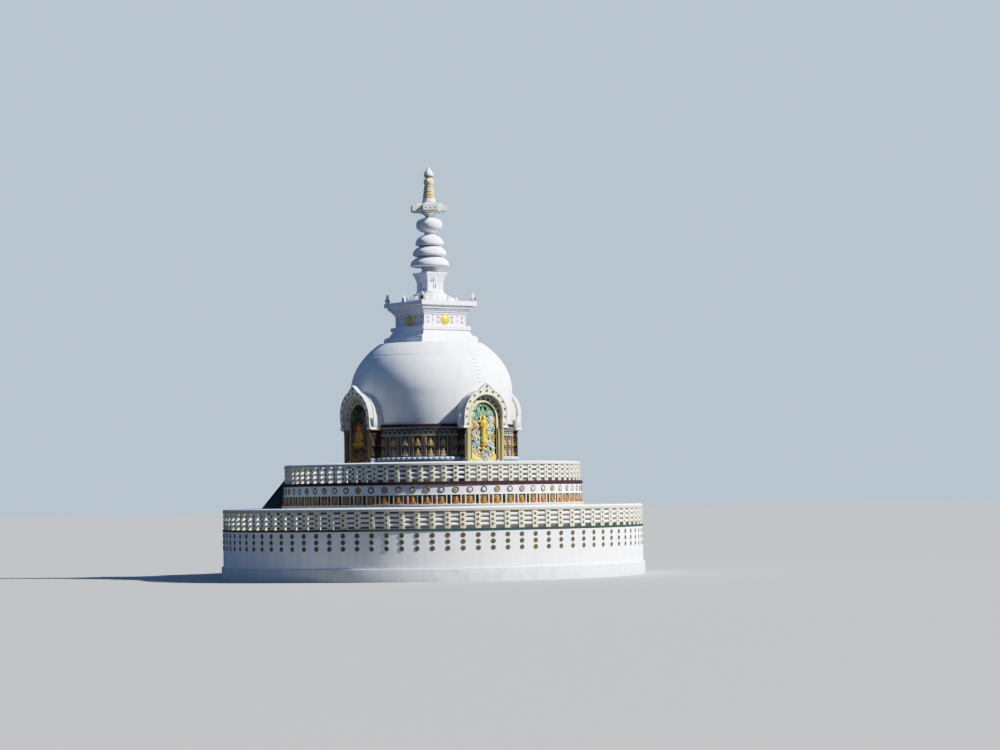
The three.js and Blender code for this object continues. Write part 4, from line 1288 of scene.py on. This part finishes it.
harmika = {
    "plinth": [(2.30, 16.02), (2.27, 16.10), (2.20, 16.17), (2.10, 16.20), (2.05, 16.23), (1.99, 16.33),
               (1.92, 16.45), (1.87, 16.56), (1.87, 16.60)],
    "cornice": [(1.88, 17.785, 17.895), (1.98, 17.915, 18.015), (2.10, 18.04, 18.21)],
    "wall": 1.72, "level": 17.28, "disc": 0.37, "thick": 0.10, "beads": 16, "beadRing": 0.30,
    "flowers": (17.12, 17.44), "dots": [16.98 + 0.15 * k for k in range(5)],
    "sun": [(1.0, -0.3), (1.0, 0.25), (0.92, 0.45), (0.84, 0.35), (0.7, 0.55), (0.4, 0.85), (0.1, 1.0)],
    "leaf": 0.22, "leafTall": 0.60, "sideLeaf": 0.17, "sideTall": 0.46, "corner": 2.08,
    "leafShape": [(1, 0), (1.06, 0.12), (1.12, 0.28), (0.98, 0.45), (0.66, 0.62), (0.36, 0.76), (0.16, 0.89)]}


def squarePiece(name, profile, nodes, edge=25, chamfer=0.014):
    # a square stack with eased corners, from half sides and heights
    points = []
    for half, z in profile:
        c = half - chamfer
        points += [(half, -c, z), (half, c, z), (c, half, z), (-c, half, z), (-half, c, z), (-half, -c, z),
                   (-c, -half, z), (c, -half, z)]
    last = len(points) - 8
    faces = [tuple(range(7, -1, -1)), tuple(range(last, last + 8))]
    faces += [(ring + i, ring + (i + 1) % 8, ring + 8 + (i + 1) % 8, ring + 8 + i)
              for ring in range(0, last, 8) for i in range(8)]
    shape = bmesh.new()
    addFaces(shape, points, faces)
    placePiece(name, shape, "whitewash", nodes, edge)


def stepped(steps, ease=0.014):
    # a profile of square mouldings with eased edges, from half side, low and high
    profile = []
    for half, low, high in steps:
        profile += [(half - ease, low), (half, low + ease), (half, high - ease), (half - ease, high)]
    return profile


def leafOutline(half, foot, tall):
    side = [(half * out, foot + tall * up) for out, up in harmika["leafShape"]]
    return side + [(0, foot + tall)] + [(-x, z) for x, z in reversed(side)]


def buildHarmika():
    baseLow, boxLow = (corner.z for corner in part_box("harmika_base"))
    boxHigh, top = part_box("harmika_box")[1].z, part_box("lotus_base")[0].z
    boxLow -= 0.02
    plinth = [(2.30, baseLow)] + harmika["plinth"] + stepped([(1.97, 16.60, boxLow)])
    cornice = stepped([(1.79, boxHigh, 17.765)] + harmika["cornice"] + [(2.27, 18.24, top)])
    squarePiece("harmika_plinth", plinth, ["harmika_base"])
    squarePiece("harmika_walls", [(harmika["wall"], z) for z in (boxLow, boxHigh)],
                ["harmika_box"], 32)
    squarePiece("harmika_eaves", cornice, ["harmika_cornice"])
    leaves, eyes = bmesh.new(), bmesh.new()
    cornerLeaf = leafOutline(harmika["leaf"], top - 0.03, harmika["leafTall"] + 0.03)
    sideLeaf = leafOutline(harmika["sideLeaf"], top - 0.03, harmika["sideTall"])
    for turn in range(4):
        spin = spun(90 * turn)
        corner = spin @ moved(harmika["corner"], -harmika["corner"], 0) @ spun(45)
        addPlate(leaves, cornerLeaf, -0.10, 0.06, 0.025, corner)
        addPlate(leaves, sideLeaf, -2.24, -2.14, 0.02, spin)
        addBall(eyes, corner @ Vector((0, -0.10, top + 0.19)), (0.09, 0.09, 0.15))
        addBall(eyes, corner @ Vector((0, 0.07, top + 0.17)), (0.08, 0.08, 0.11))
    placePiece("harmika_leaves", leaves, "whitewash", edge=40)
    placePiece("harmika_leaf_eyes", eyes, "dullMaroon", edge=60)


def buildHarmikaPaint(wall, level, beads, beadRing):
    # a sun, flowers and beads on each wall
    sun, rays = bmesh.new(), bmesh.new()
    addDisc(sun, (0, wall, level), harmika["disc"], harmika["thick"], harmika["sun"], 32, forward)
    for k in range(beads):
        turn = 2 * math.pi * k / beads
        addBall(rays, (beadRing * math.cos(turn), wall - 0.035, level + beadRing * math.sin(turn)),
                (0.028, 0.02, 0.028), 6, 4)
    onFourSides("harmika_suns", sun, "goldLeaf", edge=50)
    onFourSides("harmika_sun_beads", rays, "sunYellow", edge=60)
    shapes = {name: bmesh.new() for name in ("faintRose", "faintLilac", "faintGreen", "paleGrey")}
    for side in (-1, 1):
        for z in harmika["flowers"]:
            addFlower(shapes["paleGrey" if side > 0 else "faintLilac"], side * 0.56, wall, z, 0.14)
            addFlower(shapes["faintRose" if side > 0 else "faintLilac"], side * 1.40, wall, z, 0.13)
            addFlower(shapes["faintRose"], side * 1.02, wall, z + 0.13, 0.07)
        for z in harmika["dots"]:
            addBall(shapes["faintGreen"], (side * 1.0, wall, z), (0.035, 0.03, 0.04), 8, 5)
            addBall(shapes["faintRose"], (side * 1.63, wall, z), (0.025, 0.02, 0.03), 6, 4)
    for k in range(-9, 10):
        addBall(shapes["faintLilac"], (0.19 * k, -1.97, 16.74), (0.03, 0.02, 0.03), 6, 4)
    for name, shape in shapes.items():
        onFourSides("harmika_" + name, shape, name, edge=60)


buildHarmika()
buildHarmikaPaint(-harmika["wall"], harmika["level"], harmika["beads"], harmika["beadRing"])
print("harmika made")


# spire

spire = {
    "core": [(1.60, 0), (1.62, 0.12), (1.40, 0.28), (1.12, 0.42), (0.96, 0.56)],
    "petals": [(1.72, 0.02, 0.34, 24, 30, 0.50), (1.48, 0.14, 0.34, 20, 34, 0.52),
               (1.20, 0.28, 0.38, 16, 24, 0.54)],
    "shaft": [(0.655, 19.88), (0.66, 19.90), (0.64, 19.91), (0.64, 19.95), (0.675, 19.96), (0.70, 20.05),
              (0.735, 20.18), (0.78, 20.32), (0.84, 20.45), (0.86, 20.50), (0.86, 20.565), (0.845, 20.57)],
    "neck": [(0.66, 20.55), (0.58, 20.66), (0.54, 20.80), (0.56, 20.93)],
    "slots": [(-0.06, 0.72, 19.50, 19.84), (-0.20, 0.78, 20.0, 20.4)],
    "ring": [(0.93, 0.03), (1, 0.10), (1, 0.24), (0.96, 0.46), (0.86, 0.66), (0.70, 0.84), (0.56, 0.95),
             (0.46, 1)],
    "ball": [(0.33, 23.33), (0.46, 23.36), (0.62, 23.40), (0.84, 23.56), (0.91, 23.84), (0.84, 24.10),
             (0.62, 24.24), (0.38, 24.30), (0.27, 24.34), (0.26, 24.46), (0.40, 24.56), (0.54, 24.62),
             (0.55, 24.68)]}


def rounded(profile, rounds=2):
    # cuts the corners of an open profile, keeping its two ends
    for _ in range(rounds):
        line = [profile[0]]
        for (r0, z0), (r1, z1) in zip(profile, profile[1:]):
            line += [((1 - t) * r0 + t * r1, (1 - t) * z0 + t * z1) for t in (0.25, 0.75)]
        profile = line + [profile[-1]]
    return profile


def buildLotus():
    low, high = (corner.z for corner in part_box("lotus_base"))
    core = [(r, low + up) for r, up in spire["core"]] + [(0.92, high)]
    turnedPiece("lotus_core", core, "whitewash", ["lotus_base"])
    for k, (radius, rise, tall, count, lean, wide) in enumerate(spire["petals"]):
        petalRing(f"lotus_petals_{k + 1}", "whitewash", "whitewash", radius, low + rise, count, wide, tall,
                  0.05, 0.5 * (k % 2), lean)


def buildCapital():
    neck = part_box("lower_ring")[0].z
    squarePiece("spire_shaft", [(0.65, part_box("spire_capital")[0].z)] + spire["shaft"],
                ["spire_capital"])
    turnedPiece("spire_neck", rounded(spire["neck"] + [(0.60, neck + 0.01)]), "creamWhite")
    ribs, slots = bmesh.new(), bmesh.new()
    for aside, proud, low, high in spire["slots"]:
        for shift in (-0.09, 0.09):
            addBlock(ribs, (aside + shift - 0.04, -proud, low), (aside + shift + 0.04, -0.60, high), 0.02)
        addBlock(slots, (aside - 0.035, 0.02 - proud, low + 0.03), (aside + 0.035, -0.60, high - 0.03), 0.01)
    onFourSides("capital_ribs", ribs, "whitewash")
    onFourSides("capital_slots", slots, "slotGrey")


def buildRings():
    for node in ("lower_ring", "middle_ring", "upper_ring"):
        low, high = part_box(node)
        radius, tall = high.x, high.z - low.z
        profile = [(0.72 * radius, low.z), (0.86 * radius, low.z + 0.005 * tall)]
        profile += rounded([(out * radius, low.z + up * tall) for out, up in spire["ring"]])
        turnedPiece(node + "_skin", profile, "whitewash", [node])
    low, high = (corner.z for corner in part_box("spire_ball"))
    profile = rounded([(0.40, low), (0.33, low + 0.06)] + spire["ball"] + [(0.54, high)])
    turnedPiece("spire_ball_skin", profile, "whitewash", ["spire_ball"])


# umbrella and finial

umbrella = {"turn": -29, "long": 1.19, "wide": 0.52, "bead": 0.3}
finial = {
    "steps": [(25.42, 25.62, 0.45, 0.43), (25.64, 25.84, 0.42, 0.40), (25.86, 26.04, 0.40, 0.375),
              (26.06, 26.24, 0.365, 0.345), (26.26, 26.42, 0.34, 0.32), (26.44, 26.56, 0.315, 0.30)],
    "cup": [(0.27, 26.55), (0.31, 26.62), (0.35, 26.74), (0.335, 26.86), (0.28, 26.97), (0.21, 27.05)],
    "jewel": [(0.16, 27.04), (0.22, 27.09), (0.315, 27.18), (0.335, 27.28), (0.28, 27.44), (0.20, 27.56),
              (0.11, 27.68), (0.05, 27.78)],
    "jewelFoot": [(0.17, 27.045), (0.23, 27.085), (0.326, 27.175), (0.340, 27.22), (0.30, 27.24)],
    "petals": [("low", 0.44, 25.38, 0.34, 0.32, 12, "petalWhite"),
               ("mid", 0.34, 26.10, 0.22, 0.24, 6, "rimPaint"),
               ("high", 0.27, 26.62, 0.30, 0.22, -8, "petalWhite")]}


def addCross(shape, long, wide, low, high, bevel):
    # a slab with a cross for its plan, between two heights
    arm = [(long, -wide), (long, wide), (wide, wide)]
    turned = [(-z, x) for x, z in arm]
    outline = arm + turned + [(-x, -z) for x, z in arm + turned]
    addPlate(shape, outline, -low, -high, bevel, spun(-90, "X"))


def buildUmbrella():
    low, high = (corner.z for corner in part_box("umbrella"))
    slab, marks = bmesh.new(), bmesh.new()
    addCross(slab, umbrella["long"], umbrella["wide"], low, high - 0.12, 0.03)
    addCross(slab, 0.90, 0.38, high - 0.14, high, 0.03)
    addCross(slab, 1.08, 0.44, low - 0.06, low + 0.02, 0.015)
    turn = spun(umbrella["turn"])
    placePiece("umbrella_slab", placedShape(slab, turn), "creamWhite", ["umbrella"], 40)
    for k in range(4):
        for side in (-1, 0, 1):
            bead = bmesh.new()
            addBall(bead, (umbrella["long"], umbrella["bead"] * side, low + 0.2), (0.025, 0.06, 0.06), 8, 6)
            joinInto(marks, bead, turn @ spun(90 * k))
    placePiece("umbrella_marks", marks, "paleGrey", edge=60)


def buildFinial():
    low, high = (corner.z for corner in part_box("finial"))
    shaft = [(0.53, low - 0.01), (0.50, low + 0.07), (0.44, low + 0.10)]
    for z0, z1, r0, r1 in finial["steps"]:
        shaft += [(r0 - 0.03, z0), (r0, z0 + 0.05), (r1 + 0.005, z1 - 0.05), (r1 - 0.03, z1)]
    turnedPiece("finial_shaft", shaft, "finialOchre", ["finial"], 40, 48)
    turnedPiece("finial_cup", rounded(finial["cup"]), "rimPaint", steps=48)
    for name, profile, finish in [("jewel", finial["jewel"] + [(0.015, high)], "whitewash"),
                                  ("jewel_foot", finial["jewelFoot"], "finialOchre")]:
        turnedPiece("finial_" + name, rounded(profile), finish, edge=60, steps=48)
    for name, radius, z, tall, wide, lean, finish in finial["petals"]:
        petalRing("finial_petals_" + name, finish, "weathered_gold", radius, z, 8, wide, tall, 0.04,
                  lean=lean)


buildLotus()
buildCapital()
buildRings()
buildUmbrella()
buildFinial()
print("spire made")


# stair on the +Y side

stair = {"half": 4.1, "lowerHalf": 2.0, "wall": 0.3, "front": 16.0, "wing": 5.9, "rail": 1.34,
         "back": 12.6, "end": 9.36, "lower": (20.7, 16.0, 20), "upper": (14.78, 10.3, 17),
         "upperBack": 9.7, "wallFoot": 14.93, "parapet": 13.05}


def addProfile(shape, outline, left, right, bevel=0.0):
    # an outline in y and z, given a width along x
    swapped = Matrix(((0, 1, 0, 0), (1, 0, 0, 0), (0, 0, 1, 0), (0, 0, 0, 1)))
    addPlate(shape, outline, left, right, bevel, swapped)


def stairOutline(foot, head, risers, low, high, back, nose=0.03):
    # steps from the foot's y to the head's, with the underside at low
    rise, going = (high - low) / risers, (foot - head) / (risers - 1)
    line = [(back, low)]
    for i in range(risers):
        y, z = foot - i * going, low + (i + 1) * rise
        tip = y + (nose if i else 0)
        line += [(y, z - rise), (y, z - 0.045), (tip, z - 0.04), (tip, z - 0.006), (tip - 0.006, z)]
    return line + [(back, high)]


def buildStair(half, lowerHalf, wall, front, wing, rail, back, end, lower, upper, upperBack, wallFoot,
               parapet):
    floor, top = edges("lower_terrace")[2], edges("upper_terrace")[2]
    shapes = defaultdict(bmesh.new)
    foot, start = lower[0], upper[1]
    lowerSteps = stairOutline(*lower, 0, floor, lower[1] - 0.1)
    upperSteps = stairOutline(*upper, floor, top, upperBack)
    addProfile(shapes["flights"], lowerSteps, -lowerHalf, lowerHalf)
    addProfile(shapes["flights"], upperSteps, -half, half)
    addBlock(shapes["block"], (-wing, back, 0), (wing, front, floor - 0.12))
    addBlock(shapes["slab"], (-wing, back, floor - 0.14), (wing, front, floor), 0.015)
    # walls beside the flights, each with its cap
    tail, bend = foot + 0.3, foot - 0.2
    low = [(front - 0.05, 0), (tail, 0), (tail, rail - 0.21), (bend, rail - 0.06),
           (front, floor + rail - 0.06)]
    lowCap = [(front - 0.06, floor + rail - 0.10), (bend, rail - 0.10), (tail - 0.02, rail - 0.25),
              (tail - 0.02, rail - 0.15), (bend, rail), (front - 0.06, floor + rail)]
    high = [(end, floor), (wallFoot, floor), (wallFoot, floor + rail - 0.06),
            (start, top + rail - 0.06), (end, top + rail - 0.06)]
    capFoot = wallFoot + 0.05
    highCap = [(end, top + rail - 0.10), (start, top + rail - 0.10), (capFoot, floor + rail - 0.10),
               (capFoot, floor + rail), (start, top + rail), (end, top + rail)]
    for side in (-1, 1):
        for width, outline, rim, kind in [(lowerHalf, low, lowCap, ""), (half, high, highCap, "upper")]:
            left, right = sorted((side * (width + 0.01), side * (width + wall)))
            addProfile(shapes[kind + "walls"], outline, left, right)
            addProfile(shapes[kind + "caps"], rim, left - 0.04, right + 0.04, 0.015)
    # parapets round the landing
    for inner, near, over, drop in ((wing - 0.25, parapet, 0.05, 0),
                                    (lowerHalf + 0.02, front - 0.25, 0.035, 0.003)):
        addPair(shapes["walls"], (inner, near, floor), (wing, front, floor + rail - 0.08))
        addPair(shapes["caps"], (inner - 0.035, near - over, floor + rail - 0.10),
                (wing + 0.035, front + 0.035, floor + rail - drop), 0.02)
    lowNodes = [side + name for name in ("_lower_balustrade", "_wing_parapet") for side in ("east", "west")]
    highNodes = [side + "_upper_balustrade" for side in ("east", "west")]
    for name, shape, finish, slot, nodes, edge in [
            ("stair_flights", "flights", "concreteFloor", "stair_concrete",
             ["lower_flight", "upper_flight"], 32),
            ("landing_block", "block", "whitewash", "whitewash", ["stair_landing"], 32),
            ("landing_slab", "slab", "concreteFloor", "stair_concrete", [], 32),
            ("stair_walls", "walls", "whitewash", "whitewash", lowNodes, 32),
            ("stair_caps", "caps", "creamPaint", "whitewash", [], 40),
            ("upper_stair_walls", "upperwalls", "nightGreen", "dark_trim", highNodes, 32),
            ("upper_stair_caps", "uppercaps", "nightGreen", "dark_trim", [], 40)]:
        placePiece(name, shapes[shape], finish, nodes, edge)


buildStair(**stair)
print("stair made")
